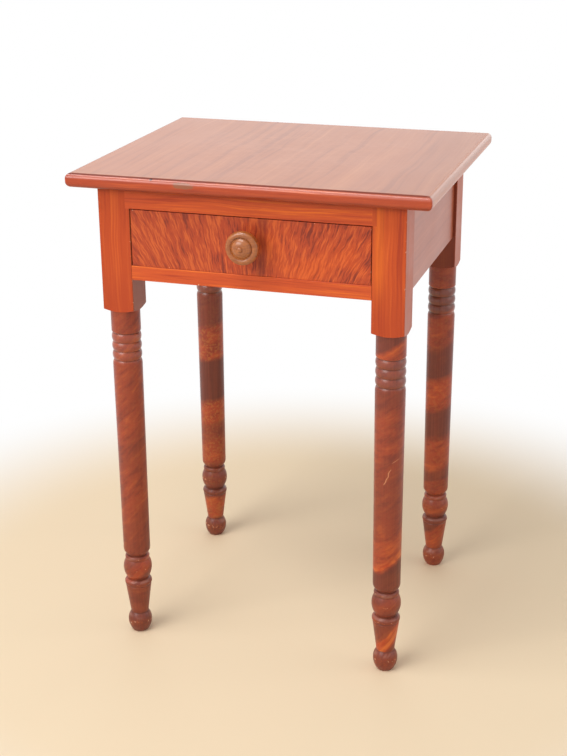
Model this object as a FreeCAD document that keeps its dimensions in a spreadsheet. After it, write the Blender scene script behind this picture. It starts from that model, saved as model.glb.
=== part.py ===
import FreeCAD, Part
import os
from collections import namedtuple
from types import SimpleNamespace

import Sketcher

# A one-drawer stand with turned legs, in millimetres: +Z is up, the front faces -Y, and the
# origin is on the floor under the middle of the whole object's box.

# Driving sizes of the top and the frame
TOP_SIZES = (
    ("overall_height", 720, "floor to the upper face of the top"),
    ("top_width", 508, "top, side to side"),
    ("top_depth", 432, "top, front to back"),
    ("top_thickness", 20, "thickness of the top board"),
    ("top_round", 7.5, "rounding of the top's upper edge"),
    ("under_round", 8, "rounding of the top's lower edge"),
    ("top_corner_round", 2.2, "rounding of the top's corners in plan"),
    ("side_overhang", 37, "top past the legs at each side"),
    ("end_overhang", 23.5, "top past the legs at front and back"),
)

LEG_SIZES = (
    ("leg_square", 46, "side of the square block of a leg"),
    ("block_length", 180, "square block, from the top down"),
    ("block_arris", 1.2, "rounding of the block's long edges"),
    ("pommel_rise", 3.8, "height of the turned cut across the block's corners"),
    ("neck_radius", 21, "plain neck under the block"),
    ("neck_length", 34.5, "block to the first groove"),
    ("neck_shoulder", 3, "rounding of the neck into the first groove"),
    ("ring_radius", 21.2, "turned rings"),
    ("ring_groove_radius", 19.2, "grooves beside the rings"),
    ("ring_pitch", 13.6, "groove to groove"),
    ("shaft_top_radius", 21.2, "shaft just under the rings"),
    ("shaft_top_shoulder", 7.7, "rounding of the shaft into the last groove"),
    ("shaft_foot_radius", 20, "shaft at its lower end"),
    ("shaft_foot_shoulder", 9.6, "rounding of the shaft's lower end"),
    ("ankle_radius", 15.2, "notch between shaft and ball"),
    ("ankle_height", 4.2, "collar's widest line up to that notch"),
    ("notch_width", 1.2, "flat bottom of each turned notch"),
    ("collar_radius", 18.3, "small collar on top of the ball"),
    ("collar_height", 3.6, "line under the collar up to its widest line"),
    ("collar_line_radius", 17.7, "incised line between collar and ball"),
    ("collar_line_height", 13.6, "ball's widest line up to that line"),
    ("ball_radius", 21.4, "ball"),
    ("ball_height", 17.4, "notch under the ball up to its widest line"),
    ("lip_notch_radius", 15.9, "notch under the ball"),
    ("lip_notch_height", 6.4, "lip's widest line up to that notch"),
    ("lip_radius", 20.5, "rolled lip of the tapered foot"),
    ("lip_height", 4.1, "line under the lip up to its widest line"),
    ("lip_line_radius", 18.9, "incised line under the lip"),
    ("lip_line_height", 1.1, "tapered foot up to that line"),
    ("taper_radius", 19.4, "tapered foot at its upper end"),
    ("taper_height", 46.6, "tapered foot, end to end"),
    ("foot_neck_radius", 13.2, "tapered foot at its lower end"),
    ("foot_neck_height", 13.6, "foot ball's widest line up to that end"),
    ("foot_ball_radius", 18, "foot ball"),
    ("foot_ball_height", 18.4, "floor to the foot ball's widest line"),
    ("foot_pad_radius", 11.5, "flat face that the foot stands on"),
)

FRAME_SIZES = (
    ("apron_height", 130.5, "side and back boards of the frame"),
    ("apron_thickness", 18, "thickness of these boards"),
    ("apron_setback", 5, "boards behind the outer faces of the legs"),
    ("board_arris", 0.8, "rounding of the boards' open edges"),
    ("tenon_thickness", 8, "tenons of the boards"),
    ("tenon_shoulder", 12, "board above and below a tenon"),
    ("tenon_end_gap", 1, "space past the end of a tenon"),
    ("mortise_web", 3, "wood left between two mortises"),
    ("joint_clearance", 0.1, "glue space round tenons, tails and nails"),
    ("lower_rail_height", 20.5, "rail under the drawer"),
    ("rail_tenon_height", 12, "tenon of that rail, up and down"),
    ("rail_tenon_shoulder", 8, "rail before and behind that tenon"),
    ("upper_rail_height", 29, "rail over the drawer"),
    ("rail_lap", 6, "upper rail let into each leg"),
    ("rail_tail_length", 14, "dovetail past that lap"),
    ("rail_tail_height", 15, "dovetail, up and down"),
    ("rail_tail_root", 22, "dovetail's width where it leaves the rail"),
    ("rail_tail_tip", 30, "dovetail's width at its end"),
    ("runner_width", 36, "runners and kickers, side to side"),
    ("guide_height", 28, "strips that keep the drawer straight"),
    ("stop_spread", 39, "drawer side to each stop"),
    ("stop_length", 40, "drawer stops, side to side"),
    ("stop_depth", 12, "drawer stops, front to back"),
    ("stop_height", 6, "drawer stops, up and down"),
)

DRAWER_SIZES = (
    ("drawer_side_gap", 1, "drawer to leg at each side"),
    ("drawer_top_gap", 1.6, "drawer to the rail above it"),
    ("drawer_inset", 1, "drawer front behind the legs' front faces"),
    ("drawer_back_gap", 9.5, "closed drawer to the back board"),
    ("drawer_front_thickness", 19, "drawer front"),
    ("drawer_front_lap", 6, "wood of the front that hides the dovetails"),
    ("drawer_side_thickness", 11, "drawer sides"),
    ("drawer_side_drop", 3, "sides lower than the front"),
    ("drawer_back_thickness", 10, "drawer back"),
    ("drawer_back_drop", 4, "back lower than the sides"),
    ("groove_raise", 10, "drawer's lower edge to the groove for its bottom"),
    ("groove_width", 5.2, "that groove, up and down"),
    ("groove_depth", 5, "that groove, into the wood"),
    ("panel_gap", 0.6, "space past the bottom board in its groove"),
    ("panel_thickness", 7, "bottom board in the middle"),
    ("panel_edge", 0.8, "groove's width over the bottom board's thinned edge"),
    ("panel_bevel", 28, "width of the thinned edges"),
)

KNOB_SIZES = (
    ("knob_reach", 37, "knob's tip to the drawer front's face"),
    ("knob_rise", 5, "knob above the middle of the drawer front"),
    ("knob_tenon_radius", 8, "round tenon through the drawer front"),
    ("knob_seat_radius", 12, "foot of the knob on the drawer front"),
    ("knob_seat_length", 3, "length of that foot"),
    ("knob_neck_radius", 9.5, "neck"),
    ("knob_neck_length", 8, "drawer front to the end of the neck"),
    ("knob_rim_radius", 23.2, "rim"),
    ("knob_rim_length", 25.5, "drawer front to the rim's widest line"),
    ("knob_face_radius", 0.6, "rounded rim's inner edge, past the groove"),
    ("knob_face_length", 29.8, "drawer front to that edge"),
    ("knob_groove_radius", 0.8, "groove's radius, more than the dome's"),
    ("knob_groove_length", 28, "drawer front to the groove's floor"),
    ("knob_dome_radius", 14.2, "dome inside the rim"),
    ("knob_dome_length", 28.9, "drawer front to the dome's widest line"),
    ("knob_nub_radius", 3.6, "nub on the dome"),
    ("knob_nub_length", 2.6, "length of the nub, up to the knob's tip"),
    ("knob_tip_radius", 1, "flat end of the nub"),
)

FASTENER_SIZES = (
    ("nail_width", 3, "square shank of the cut nails"),
    ("nail_length", 44, "cut nails under the head"),
    ("nail_head_width", 6.5, "heads of the cut nails"),
    ("nail_head_height", 1.2, "thickness of these heads"),
    ("brad_width", 2, "square shank of the small nails in the drawer bottom"),
    ("brad_length", 22, "small nails under the head"),
    ("brad_head_width", 4.2, "heads of the small nails"),
    ("brad_head_height", 0.8, "thickness of these heads"),
    ("screw_radius", 2.4, "shank of the screws that hold the top"),
    ("screw_grip", 20, "wood under the head of a screw"),
    ("screw_bite", 12, "screw in the top board"),
    ("screw_point", 4, "tapered end of a screw"),
    ("screw_head_radius", 4.8, "head of a screw"),
    ("screw_head_height", 2.8, "thickness of that head"),
    ("screw_slot_width", 1.2, "slot in that head"),
    ("screw_slot_depth", 1.3, "depth of that slot"),
    ("screw_head_room", 1, "space round that head"),
)

# Counts and shares
RING_COUNT = 3
FRONT_TAIL_COUNT = 3
BACK_TAIL_COUNT = 2
TAIL_ROOT_SHARE = 0.5
TAIL_TIP_SHARE = 0.7
RUNNER_NAIL_SHARES = (0.15, 0.5, 0.85)
GUIDE_NAIL_SHARES = (0.3, 0.7)
KICKER_NAIL_SHARES = (0.36, 0.64)
KICKER_SCREW_SHARES = (0.14, 0.86)
RAIL_SCREW_SHARE = 0.6
BRAD_SHARES = (-0.7, 0, 0.7)
SCREW_TOP_SHARE = 0.7
SCREW_POINT_SHARE = 0.15

EDGE_TOLERANCE_SHARE = 1e-6


class Size:
    """A length together with the sheet formula that gives it, so that sums stay bound."""

    def __init__(self, value, formula):
        self.value = value
        self.formula = formula

    def joined(self, sign, other, value):
        return Size(value, f"({self.formula} {sign} {other.formula})")

    def __add__(self, other):
        other = as_size(other)
        return self.joined("+", other, self.value + other.value)

    def __sub__(self, other):
        other = as_size(other)
        return self.joined("-", other, self.value - other.value)

    def __mul__(self, other):
        other = as_size(other)
        return self.joined("*", other, self.value * other.value)

    def __truediv__(self, other):
        other = as_size(other)
        return self.joined("/", other, self.value / other.value)

    def __neg__(self):
        return Size(-self.value, f"(0 - {self.formula})")


def as_size(number):
    """Turns a plain count or share into a Size."""
    return number if isinstance(number, Size) else Size(float(number), repr(float(number)))


ZERO = as_size(0)

doc = FreeCAD.newDocument("OneDrawerStand")
sheet = doc.addObject("Spreadsheet::Sheet", "Sizes")
named_sizes = {}
row = 0
for group in (TOP_SIZES, LEG_SIZES, FRAME_SIZES, DRAWER_SIZES, KNOB_SIZES, FASTENER_SIZES):
    for alias, number, note in group:
        row += 1
        sheet.set(f"A{row}", alias)
        sheet.set(f"B{row}", str(number))
        sheet.set(f"C{row}", note)
        sheet.setAlias(f"B{row}", alias)
        named_sizes[alias] = Size(float(number), f"Sizes.{alias}")
doc.recompute()
s = SimpleNamespace(**named_sizes)

sub_parts = []


# Helpers that bind, place and draw

def bind(item, path, length):
    """Ties one property to the sheet."""
    item.setExpression(path, length.formula)


def place(item, x, y, z):
    """Ties an object's place to the sheet."""
    for axis, length in zip("xyz", (x, y, z)):
        bind(item, f"Placement.Base.{axis}", length)


def turn(item, axis, degrees):
    """Turns an object about an axis through its own origin."""
    rotation = FreeCAD.Rotation(FreeCAD.Vector(*axis), degrees)
    item.Placement = FreeCAD.Placement(FreeCAD.Vector(), rotation)


def new_body(label, x, y, z):
    """Starts a sub-part at its place."""
    body = doc.addObject("PartDesign::Body", label)
    body.Label = label
    place(body, x, y, z)
    sub_parts.append(body)
    return body


def mirrored(source, label):
    """The same piece on the other side of the middle plane."""
    twin = doc.addObject("Part::Mirroring", label)
    twin.Label = label
    twin.Source = source
    twin.Normal = FreeCAD.Vector(1, 0, 0)
    return twin


def right_hand_twin(left_piece):
    """The right-hand sub-part of a pair."""
    sub_parts.append(mirrored(left_piece, left_piece.Label.replace("left", "right")))


Disc = namedtuple("Disc", "u v radius")
NORMAL_SIGNS = {"XY_Plane": 1, "XZ_Plane": -1, "YZ_Plane": 1}


def rectangle(u_low, v_low, u_high, v_high):
    """Corners of an upright rectangle."""
    return [(u_low, v_low), (u_high, v_low), (u_high, v_high), (u_low, v_high)]


def square(u, v, side):
    """Corners of a square about its middle."""
    half = side / 2
    return rectangle(u - half, v - half, u + half, v + half)


def point(u, v):
    return FreeCAD.Vector(u.value, v.value, 0)


def new_sketch(body, plane_role, start):
    """A sketch parallel to one of the body's own planes, at a distance along its axis."""
    sketch = body.newObject("Sketcher::SketchObject", f"{body.Name}_sketch")
    plane = next(item for item in body.Origin.OriginFeatures if item.Role == plane_role)
    sketch.AttachmentSupport = [(plane, "")]
    sketch.MapMode = "FlatFace"
    bind(sketch, "AttachmentOffset.Base.z", start * NORMAL_SIGNS[plane_role])
    return sketch


def constrain(sketch, kind, geometry, length, *end):
    """Adds one driving constraint and ties it to the sheet."""
    number = sketch.addConstraint(Sketcher.Constraint(kind, geometry, *end, length.value))
    bind(sketch, f"Constraints[{number}]", length)


def hold_point(sketch, geometry, end, u, v):
    """Holds one end of a line or arc, or a centre, at its place."""
    constrain(sketch, "DistanceX", geometry, u, end)
    constrain(sketch, "DistanceY", geometry, v, end)


def join_ends(sketch, first, count):
    """Closes a run of lines and arcs end to start."""
    for index in range(count):
        following = first + (index + 1) % count
        sketch.addConstraint(Sketcher.Constraint("Coincident", first + index, 2, following, 1))


def draw_polygon(sketch, corners):
    first = sketch.GeometryCount
    for corner, following in zip(corners, corners[1:] + corners[:1]):
        sketch.addGeometry(Part.LineSegment(point(*corner), point(*following)))
    join_ends(sketch, first, len(corners))
    for index, corner in enumerate(corners):
        hold_point(sketch, first + index, 1, *corner)


def draw_disc(sketch, disc):
    circle = Part.Circle(point(disc.u, disc.v), FreeCAD.Vector(0, 0, 1), disc.radius.value)
    number = sketch.addGeometry(circle)
    hold_point(sketch, number, 3, disc.u, disc.v)
    constrain(sketch, "Radius", number, disc.radius)


def swell_radius(low, high):
    """Radius of an arc that runs along the axis where it is widest."""
    rise = high[1] - low[1]
    spread = high[0] - low[0]
    if spread.value < 0:
        spread = -spread
    return (spread * spread + rise * rise) / (spread * 2)


def crown_radius(low, high):
    """Radius of an arc that runs across the axis at its upper end."""
    rise = high[1] - low[1]
    spread = high[0] - low[0]
    return (spread * spread + rise * rise) / (rise * 2)


def stacked(radius, steps):
    """Stations up from the origin, from steps of radius, length along the axis, line or arc."""
    stations = [(radius, ZERO, "line")]
    for next_radius, length, shape in steps:
        stations.append((next_radius, stations[-1][1] + length, shape))
    return stations


def draw_turning(sketch, stations):
    """Half of a turned outline: each station is radius, place along the axis, line or arc."""
    outline = [(ZERO, stations[0][1], "line")] + stations + [(ZERO, stations[-1][1], "line")]
    arcs = {}
    for index, (low, high) in enumerate(zip(outline, outline[1:])):
        start = point(*low[:2])
        end = point(*high[:2])
        if high[2] == "line":
            sketch.addGeometry(Part.LineSegment(start, end))
            continue
        if high[2] == "crown":
            radius = crown_radius(low, high)
            centre = end - FreeCAD.Vector(0, radius.value, 0)
        else:
            radius = swell_radius(low, high)
            wide = max(start, end, key=lambda place_on_arc: place_on_arc.x)
            centre = wide - FreeCAD.Vector(radius.value, 0, 0)
        circle = Part.Circle(centre, FreeCAD.Vector(0, 0, 1), radius.value)
        sketch.addGeometry(Part.ArcOfCircle(circle, circle.parameter(start), circle.parameter(end)))
        arcs[index] = radius
    sketch.addGeometry(Part.LineSegment(point(*outline[-1][:2]), point(*outline[0][:2])))
    join_ends(sketch, 0, len(outline))
    for index, station in enumerate(outline):
        hold_point(sketch, index, 1, *station[:2])
    for index, radius in arcs.items():
        constrain(sketch, "Radius", index, radius)


# Helpers that add and cut

def volume(body):
    return body.Shape.Volume if body.Tip else 0


def checked(body, feature, before, grows):
    """Rebuilds, and stops if a feature changed nothing or went the wrong way."""
    doc.recompute()
    change = volume(body) - before
    if (change > 0) != grows or change == 0:
        raise RuntimeError(f"{feature.Label} changed the volume by {change}")
    return feature


def prism(body, kind, plane_role, outlines, start, length):
    """Adds (Pad) or cuts (Pocket) what the outlines sweep along their plane's axis."""
    before = volume(body)
    sketch = new_sketch(body, plane_role, start)
    for outline in outlines:
        if isinstance(outline, Disc):
            draw_disc(sketch, outline)
        else:
            draw_polygon(sketch, outline)
    feature = body.newObject(f"PartDesign::{kind}", f"{body.Name}_{kind.lower()}")
    feature.Profile = sketch
    bind(feature, "Length", length)
    feature.Reversed = (plane_role == "XZ_Plane") != (kind == "Pocket")
    return checked(body, feature, before, kind == "Pad")


def add(body, plane_role, outlines, start, length):
    return prism(body, "Pad", plane_role, outlines, start, length)


def cut(body, plane_role, outlines, start, length):
    return prism(body, "Pocket", plane_role, outlines, start, length)


def revolve(body, kind, plane_role, draw, outline):
    """Adds (Revolution) or cuts (Groove) a turned form about the sketch's upright axis."""
    before = volume(body)
    sketch = new_sketch(body, plane_role, ZERO)
    draw(sketch, outline)
    feature = body.newObject(f"PartDesign::{kind}", f"{body.Name}_{kind.lower()}")
    feature.Profile = sketch
    feature.ReferenceAxis = (sketch, ["V_Axis"])
    feature.Angle = 360
    return checked(body, feature, before, kind == "Revolution")


def round_edges(body, radius, along=None, **places):
    """Rounds the edges that lie at the given places, or those of them that run along one axis."""
    base = body.Tip
    reach = base.Shape.BoundBox.DiagonalLength * EDGE_TOLERANCE_SHARE
    names = []
    for number, edge in enumerate(base.Shape.Edges, 1):
        box = edge.BoundBox
        lengths = {"X": box.XLength, "Y": box.YLength, "Z": box.ZLength}
        middles = {"X": box.Center.x, "Y": box.Center.y, "Z": box.Center.z}
        flat = all(lengths[axis] < reach for axis in places)
        there = all(abs(middles[axis] - size.value) < reach for axis, size in places.items())
        straight = along is None or all(lengths[axis] < reach for axis in "XYZ" if axis != along)
        if flat and there and straight:
            names.append(f"Edge{number}")
    before = volume(body)
    feature = body.newObject("PartDesign::Fillet", f"{body.Name}_fillet")
    feature.Base = (base, names)
    bind(feature, "Radius", radius)
    return checked(body, feature, before, False)


# Places that several pieces share

half_width = s.top_width / 2 - s.side_overhang
half_depth = s.top_depth / 2 - s.end_overhang
middle_y = (s.knob_reach - s.drawer_inset - s.end_overhang) / 2
front_y = middle_y - half_depth
back_y = middle_y + half_depth
leg_half = s.leg_square / 2
leg_top = s.overall_height - s.top_thickness
block_bottom = leg_top - s.block_length
rail_bottom = leg_top - s.apron_height
lower_rail_top = rail_bottom + s.lower_rail_height
upper_rail_bottom = leg_top - s.upper_rail_height
opening_half = half_width - s.leg_square
apron_inner = half_width - s.apron_setback - s.apron_thickness
run_front = front_y + s.leg_square
run_length = half_depth * 2 - s.leg_square * 2
mortise_depth = (
    s.leg_square - s.apron_setback - (s.apron_thickness + s.tenon_thickness) / 2
    - s.joint_clearance - s.mortise_web
)
tenon_length = mortise_depth - s.tenon_end_gap
tenon_start = (s.apron_thickness - s.tenon_thickness) / 2
screw_hole = s.screw_radius + s.joint_clearance
nail_hole = s.nail_width + s.joint_clearance * 2
brad_hole = s.brad_width + s.joint_clearance * 2
counterbore = s.screw_head_radius + s.screw_head_room
counterbore_depth = s.upper_rail_height - s.screw_grip
kicker_screw_x = apron_inner - s.runner_width / 2
rail_screw_x = opening_half * RAIL_SCREW_SHARE
kicker_screw_runs = [run_length * share for share in KICKER_SCREW_SHARES]
screw_places = [(rail_screw_x, front_y + leg_half)]
screw_places += [(kicker_screw_x, run_front + run) for run in kicker_screw_runs]


# The top, with blind holes for its screws

def make_top():
    top = new_body("table_top", ZERO, middle_y, leg_top)
    half_top_width = s.top_width / 2
    half_top_depth = s.top_depth / 2
    outline = rectangle(-half_top_width, -half_top_depth, half_top_width, half_top_depth)
    add(top, "XY_Plane", [outline], ZERO, s.top_thickness)
    round_edges(top, s.top_round, Z=s.top_thickness)
    round_edges(top, s.under_round, Z=ZERO)
    round_edges(top, s.top_corner_round, along="Z")
    holes = []
    for x, y in screw_places:
        holes.append(Disc(x, y - middle_y, screw_hole))
        holes.append(Disc(-x, y - middle_y, screw_hole))
    cut(top, "XY_Plane", holes, ZERO, s.screw_bite + s.tenon_end_gap)


# The legs: a square block over one turned length

def leg_stations():
    """The turned outline, from the floor to inside the block."""
    ring_top = block_bottom - s.neck_length
    ring_low = ring_top - s.ring_pitch * RING_COUNT
    stations = stacked(s.foot_pad_radius, [
        (s.foot_ball_radius, s.foot_ball_height, "swell"),
        (s.foot_neck_radius, s.foot_neck_height, "swell"),
        (s.taper_radius, s.taper_height, "line"),
        (s.lip_line_radius, s.lip_line_height, "line"),
        (s.lip_radius, s.lip_height, "swell"),
        (s.lip_notch_radius, s.lip_notch_height, "swell"),
        (s.lip_notch_radius, s.notch_width, "line"),
        (s.ball_radius, s.ball_height, "swell"),
        (s.collar_line_radius, s.collar_line_height, "swell"),
        (s.collar_radius, s.collar_height, "swell"),
        (s.ankle_radius, s.ankle_height, "swell"),
        (s.ankle_radius, s.notch_width, "line"),
        (s.shaft_foot_radius, s.shaft_foot_shoulder, "swell"),
    ])
    stations.append((s.shaft_top_radius, ring_low - s.shaft_top_shoulder, "line"))
    stations.append((s.ring_groove_radius, ring_low, "swell"))
    for ring in range(RING_COUNT):
        groove = ring_low + s.ring_pitch * ring
        stations.append((s.ring_radius, groove + s.ring_pitch / 2, "swell"))
        stations.append((s.ring_groove_radius, groove + s.ring_pitch, "swell"))
    stations.append((s.neck_radius, ring_top + s.neck_shoulder, "swell"))
    stations.append((s.neck_radius, block_bottom + s.pommel_rise, "line"))
    return stations


def make_leg(label, y):
    """Block, turned cut across its corners, and the turned length below."""
    leg = new_body(label, leg_half - half_width, y, ZERO)
    add(leg, "XY_Plane", [square(ZERO, ZERO, s.leg_square)], block_bottom, s.block_length)
    round_edges(leg, s.block_arris, along="Z")
    pommel_top = block_bottom + s.pommel_rise
    pommel = [(leg_half, block_bottom), (s.leg_square, block_bottom)]
    pommel += [(s.leg_square, pommel_top + s.pommel_rise), (leg_half * 2 ** 0.5, pommel_top)]
    revolve(leg, "Groove", "XZ_Plane", draw_polygon, pommel)
    revolve(leg, "Revolution", "XZ_Plane", draw_turning, leg_stations())
    return leg


mortise_low = rail_bottom + s.tenon_shoulder - s.joint_clearance
mortise_high = leg_top - s.tenon_shoulder + s.joint_clearance


def cut_side_mortise(leg, start):
    """Mortise for the side board, in the leg's face towards the other leg of that side."""
    low = s.apron_setback + tenon_start - s.joint_clearance - leg_half
    high = low + s.tenon_thickness + s.joint_clearance * 2
    cut(leg, "XZ_Plane", [rectangle(low, mortise_low, high, mortise_high)], start, mortise_depth)


def make_front_legs():
    leg = make_leg("leg_front_left", front_y + leg_half)
    cut_side_mortise(leg, leg_half - mortise_depth)
    depth = leg_half - s.rail_tenon_shoulder + s.joint_clearance
    middle = rail_bottom + s.lower_rail_height / 2
    height = s.rail_tenon_height / 2 + s.joint_clearance
    rail_mortise = rectangle(-depth, middle - height, depth, middle + height)
    cut(leg, "YZ_Plane", [rail_mortise], leg_half - mortise_depth, mortise_depth)
    lap_face = leg_half - s.rail_lap
    lap = rectangle(-leg_half, upper_rail_bottom, leg_half, leg_top)
    cut(leg, "YZ_Plane", [lap], lap_face, s.rail_lap)
    root = s.rail_tail_root / 2 + s.joint_clearance
    tip = s.rail_tail_tip / 2 + s.joint_clearance
    tip_face = lap_face - s.rail_tail_length - s.joint_clearance
    socket = [(lap_face, -root), (lap_face, root), (tip_face, tip), (tip_face, -tip)]
    cut(leg, "XY_Plane", [socket], leg_top - s.rail_tail_height, s.rail_tail_height)
    right_hand_twin(leg)


def make_back_legs():
    leg = make_leg("leg_back_left", back_y - leg_half)
    cut_side_mortise(leg, -leg_half)
    high = leg_half - s.apron_setback - tenon_start + s.joint_clearance
    low = high - s.tenon_thickness - s.joint_clearance * 2
    mortise = rectangle(low, mortise_low, high, mortise_high)
    cut(leg, "YZ_Plane", [mortise], leg_half - mortise_depth, mortise_depth)
    right_hand_twin(leg)


# The frame's boards and rails

def nail_square(run, height):
    return square(run, height, nail_hole)


runner_middle = s.lower_rail_height / 2
kicker_middle = s.upper_rail_height / 2
guide_width = apron_inner - opening_half
runner_nail_runs = [run_length * share for share in RUNNER_NAIL_SHARES]
guide_nail_runs = [run_length * share for share in GUIDE_NAIL_SHARES]
kicker_nail_runs = [run_length * share for share in KICKER_NAIL_SHARES]
nail_end_room = s.nail_length + s.tenon_end_gap


def make_side_aprons():
    apron = new_body("side_apron_left", s.apron_setback - half_width, run_front, rail_bottom)
    add(apron, "YZ_Plane", [rectangle(ZERO, ZERO, run_length, s.apron_height)], ZERO, s.apron_thickness)
    round_edges(apron, s.board_arris, along="Y", X=ZERO, Z=ZERO)
    tenons = rectangle(
        -tenon_length, s.tenon_shoulder, run_length + tenon_length, s.apron_height - s.tenon_shoulder
    )
    add(apron, "YZ_Plane", [tenons], tenon_start, s.tenon_thickness)
    holes = [nail_square(run, runner_middle) for run in runner_nail_runs]
    kicker_level = s.apron_height - kicker_middle
    holes += [nail_square(run, kicker_level) for run in kicker_nail_runs]
    bite = nail_end_room - s.runner_width
    cut(apron, "YZ_Plane", holes, s.apron_thickness - bite, bite)
    right_hand_twin(apron)


def make_back_apron():
    apron = new_body("back_apron", ZERO, back_y - s.apron_setback - s.apron_thickness, rail_bottom)
    board = rectangle(-opening_half, ZERO, opening_half, s.apron_height)
    add(apron, "XZ_Plane", [board], ZERO, s.apron_thickness)
    round_edges(apron, s.board_arris, along="X", Y=s.apron_thickness, Z=ZERO)
    reach = opening_half + tenon_length
    tenons = rectangle(-reach, s.tenon_shoulder, reach, s.apron_height - s.tenon_shoulder)
    add(apron, "XZ_Plane", [tenons], tenon_start, s.tenon_thickness)


def make_upper_rail():
    """Rail over the drawer, let into the legs and dovetailed into their tops."""
    rail = new_body("upper_front_rail", ZERO, front_y, upper_rail_bottom)
    reach = opening_half + s.rail_lap
    add(rail, "XY_Plane", [rectangle(-reach, ZERO, reach, s.leg_square)], ZERO, s.upper_rail_height)
    tail_low = s.upper_rail_height - s.rail_tail_height
    root = s.rail_tail_root / 2
    tip = s.rail_tail_tip / 2
    rail_tails = []
    for sign in (-1, 1):
        base = reach * sign
        end = (reach + s.rail_tail_length) * sign
        rail_tails.append([
            (base, leg_half - root), (base, leg_half + root),
            (end, leg_half + tip), (end, leg_half - tip),
        ])
    add(rail, "XY_Plane", rail_tails, tail_low, s.rail_tail_height)
    bores = [Disc(rail_screw_x * sign, leg_half, screw_hole) for sign in (-1, 1)]
    cut(rail, "XY_Plane", bores, ZERO, s.upper_rail_height)
    seats = [Disc(rail_screw_x * sign, leg_half, counterbore) for sign in (-1, 1)]
    cut(rail, "XY_Plane", seats, ZERO, counterbore_depth)


def make_lower_rail():
    rail = new_body("lower_front_rail", ZERO, front_y, rail_bottom)
    board = rectangle(-opening_half, ZERO, opening_half, s.leg_square)
    add(rail, "XY_Plane", [board], ZERO, s.lower_rail_height)
    round_edges(rail, s.board_arris, along="X", Y=ZERO)
    reach = opening_half + tenon_length
    tenons = rectangle(-reach, s.rail_tenon_shoulder, reach, s.leg_square - s.rail_tenon_shoulder)
    add(rail, "XY_Plane", [tenons], runner_middle - s.rail_tenon_height / 2, s.rail_tenon_height)


# What the drawer runs on: runners below, guides beside it, kickers above

def make_strip(label, level, width, height):
    """A plain strip along the inner face of a side board, leg to leg."""
    strip = new_body(label, -apron_inner, run_front, level)
    add(strip, "YZ_Plane", [rectangle(ZERO, ZERO, run_length, height)], ZERO, width)
    return strip


def make_runners():
    runner = make_strip("drawer_runner_left", rail_bottom, s.runner_width, s.lower_rail_height)
    holes = [nail_square(run, runner_middle) for run in runner_nail_runs]
    cut(runner, "YZ_Plane", holes, ZERO, s.runner_width)
    guide_holes = [nail_square(guide_width / 2, run) for run in guide_nail_runs]
    bite = nail_end_room - s.guide_height
    cut(runner, "XY_Plane", guide_holes, s.lower_rail_height - bite, bite)
    right_hand_twin(runner)


def make_guides():
    guide = make_strip("drawer_guide_left", lower_rail_top, guide_width, s.guide_height)
    holes = [nail_square(guide_width / 2, run) for run in guide_nail_runs]
    cut(guide, "XY_Plane", holes, ZERO, s.guide_height)
    right_hand_twin(guide)


def make_kickers():
    kicker = make_strip("drawer_kicker_left", upper_rail_bottom, s.runner_width, s.upper_rail_height)
    holes = [nail_square(run, kicker_middle) for run in kicker_nail_runs]
    cut(kicker, "YZ_Plane", holes, ZERO, s.runner_width)
    middle = s.runner_width / 2
    bores = [Disc(middle, run, screw_hole) for run in kicker_screw_runs]
    cut(kicker, "XY_Plane", bores, ZERO, s.upper_rail_height)
    seats = [Disc(middle, run, counterbore) for run in kicker_screw_runs]
    cut(kicker, "XY_Plane", seats, ZERO, counterbore_depth)
    right_hand_twin(kicker)


# The drawer

drawer_y = front_y + s.drawer_inset
drawer_half = opening_half - s.drawer_side_gap
drawer_inner = drawer_half - s.drawer_side_thickness
drawer_height = upper_rail_bottom - lower_rail_top - s.drawer_top_gap
drawer_length = (
    half_depth * 2 - s.apron_setback - s.apron_thickness - s.drawer_back_gap - s.drawer_inset
)
side_height = drawer_height - s.drawer_side_drop
groove_top = s.groove_raise + s.groove_width
panel_top = groove_top - s.joint_clearance
panel_half = drawer_inner + s.groove_depth - s.panel_gap
back_start = drawer_length - s.drawer_back_thickness
back_high = side_height - s.drawer_back_drop
brad_run = drawer_length - s.drawer_back_thickness / 2
brad_places = [drawer_inner * share for share in BRAD_SHARES]


def tails(root, tip, low, high, count, room):
    """Dovetails between two levels, narrow at the root and wide at the tip."""
    pitch = (high - low) / count
    root_half = pitch * TAIL_ROOT_SHARE / 2 + room
    tip_half = pitch * TAIL_TIP_SHARE / 2 + room
    outlines = []
    for number in range(count):
        middle = low + pitch * (number + 0.5)
        outlines.append([
            (root, middle - root_half), (tip, middle - tip_half),
            (tip, middle + tip_half), (root, middle + root_half),
        ])
    return outlines


def cut_sockets(board, sockets):
    """Sockets for the sides' dovetails at both ends of a cross board."""
    depth = s.drawer_side_thickness
    cut(board, "YZ_Plane", sockets, -drawer_half, depth)
    cut(board, "YZ_Plane", sockets, drawer_half - depth, depth)


def make_drawer_front():
    front = new_body("drawer_front", ZERO, drawer_y, lower_rail_top)
    thickness = s.drawer_front_thickness
    board = rectangle(-drawer_half, ZERO, drawer_half, drawer_height)
    add(front, "XZ_Plane", [board], ZERO, thickness)
    round_edges(front, s.board_arris, Y=ZERO)
    socket_tip = s.drawer_front_lap - s.joint_clearance
    cut_sockets(front, tails(thickness, socket_tip, ZERO, side_height, FRONT_TAIL_COUNT, s.joint_clearance))
    groove_reach = drawer_inner + s.groove_depth
    groove = rectangle(thickness - s.groove_depth, s.groove_raise, thickness, groove_top)
    cut(front, "YZ_Plane", [groove], -groove_reach, groove_reach * 2)
    knob_hole = Disc(ZERO, drawer_height / 2 + s.knob_rise, s.knob_tenon_radius + s.joint_clearance)
    cut(front, "XZ_Plane", [knob_hole], ZERO, thickness)


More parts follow.
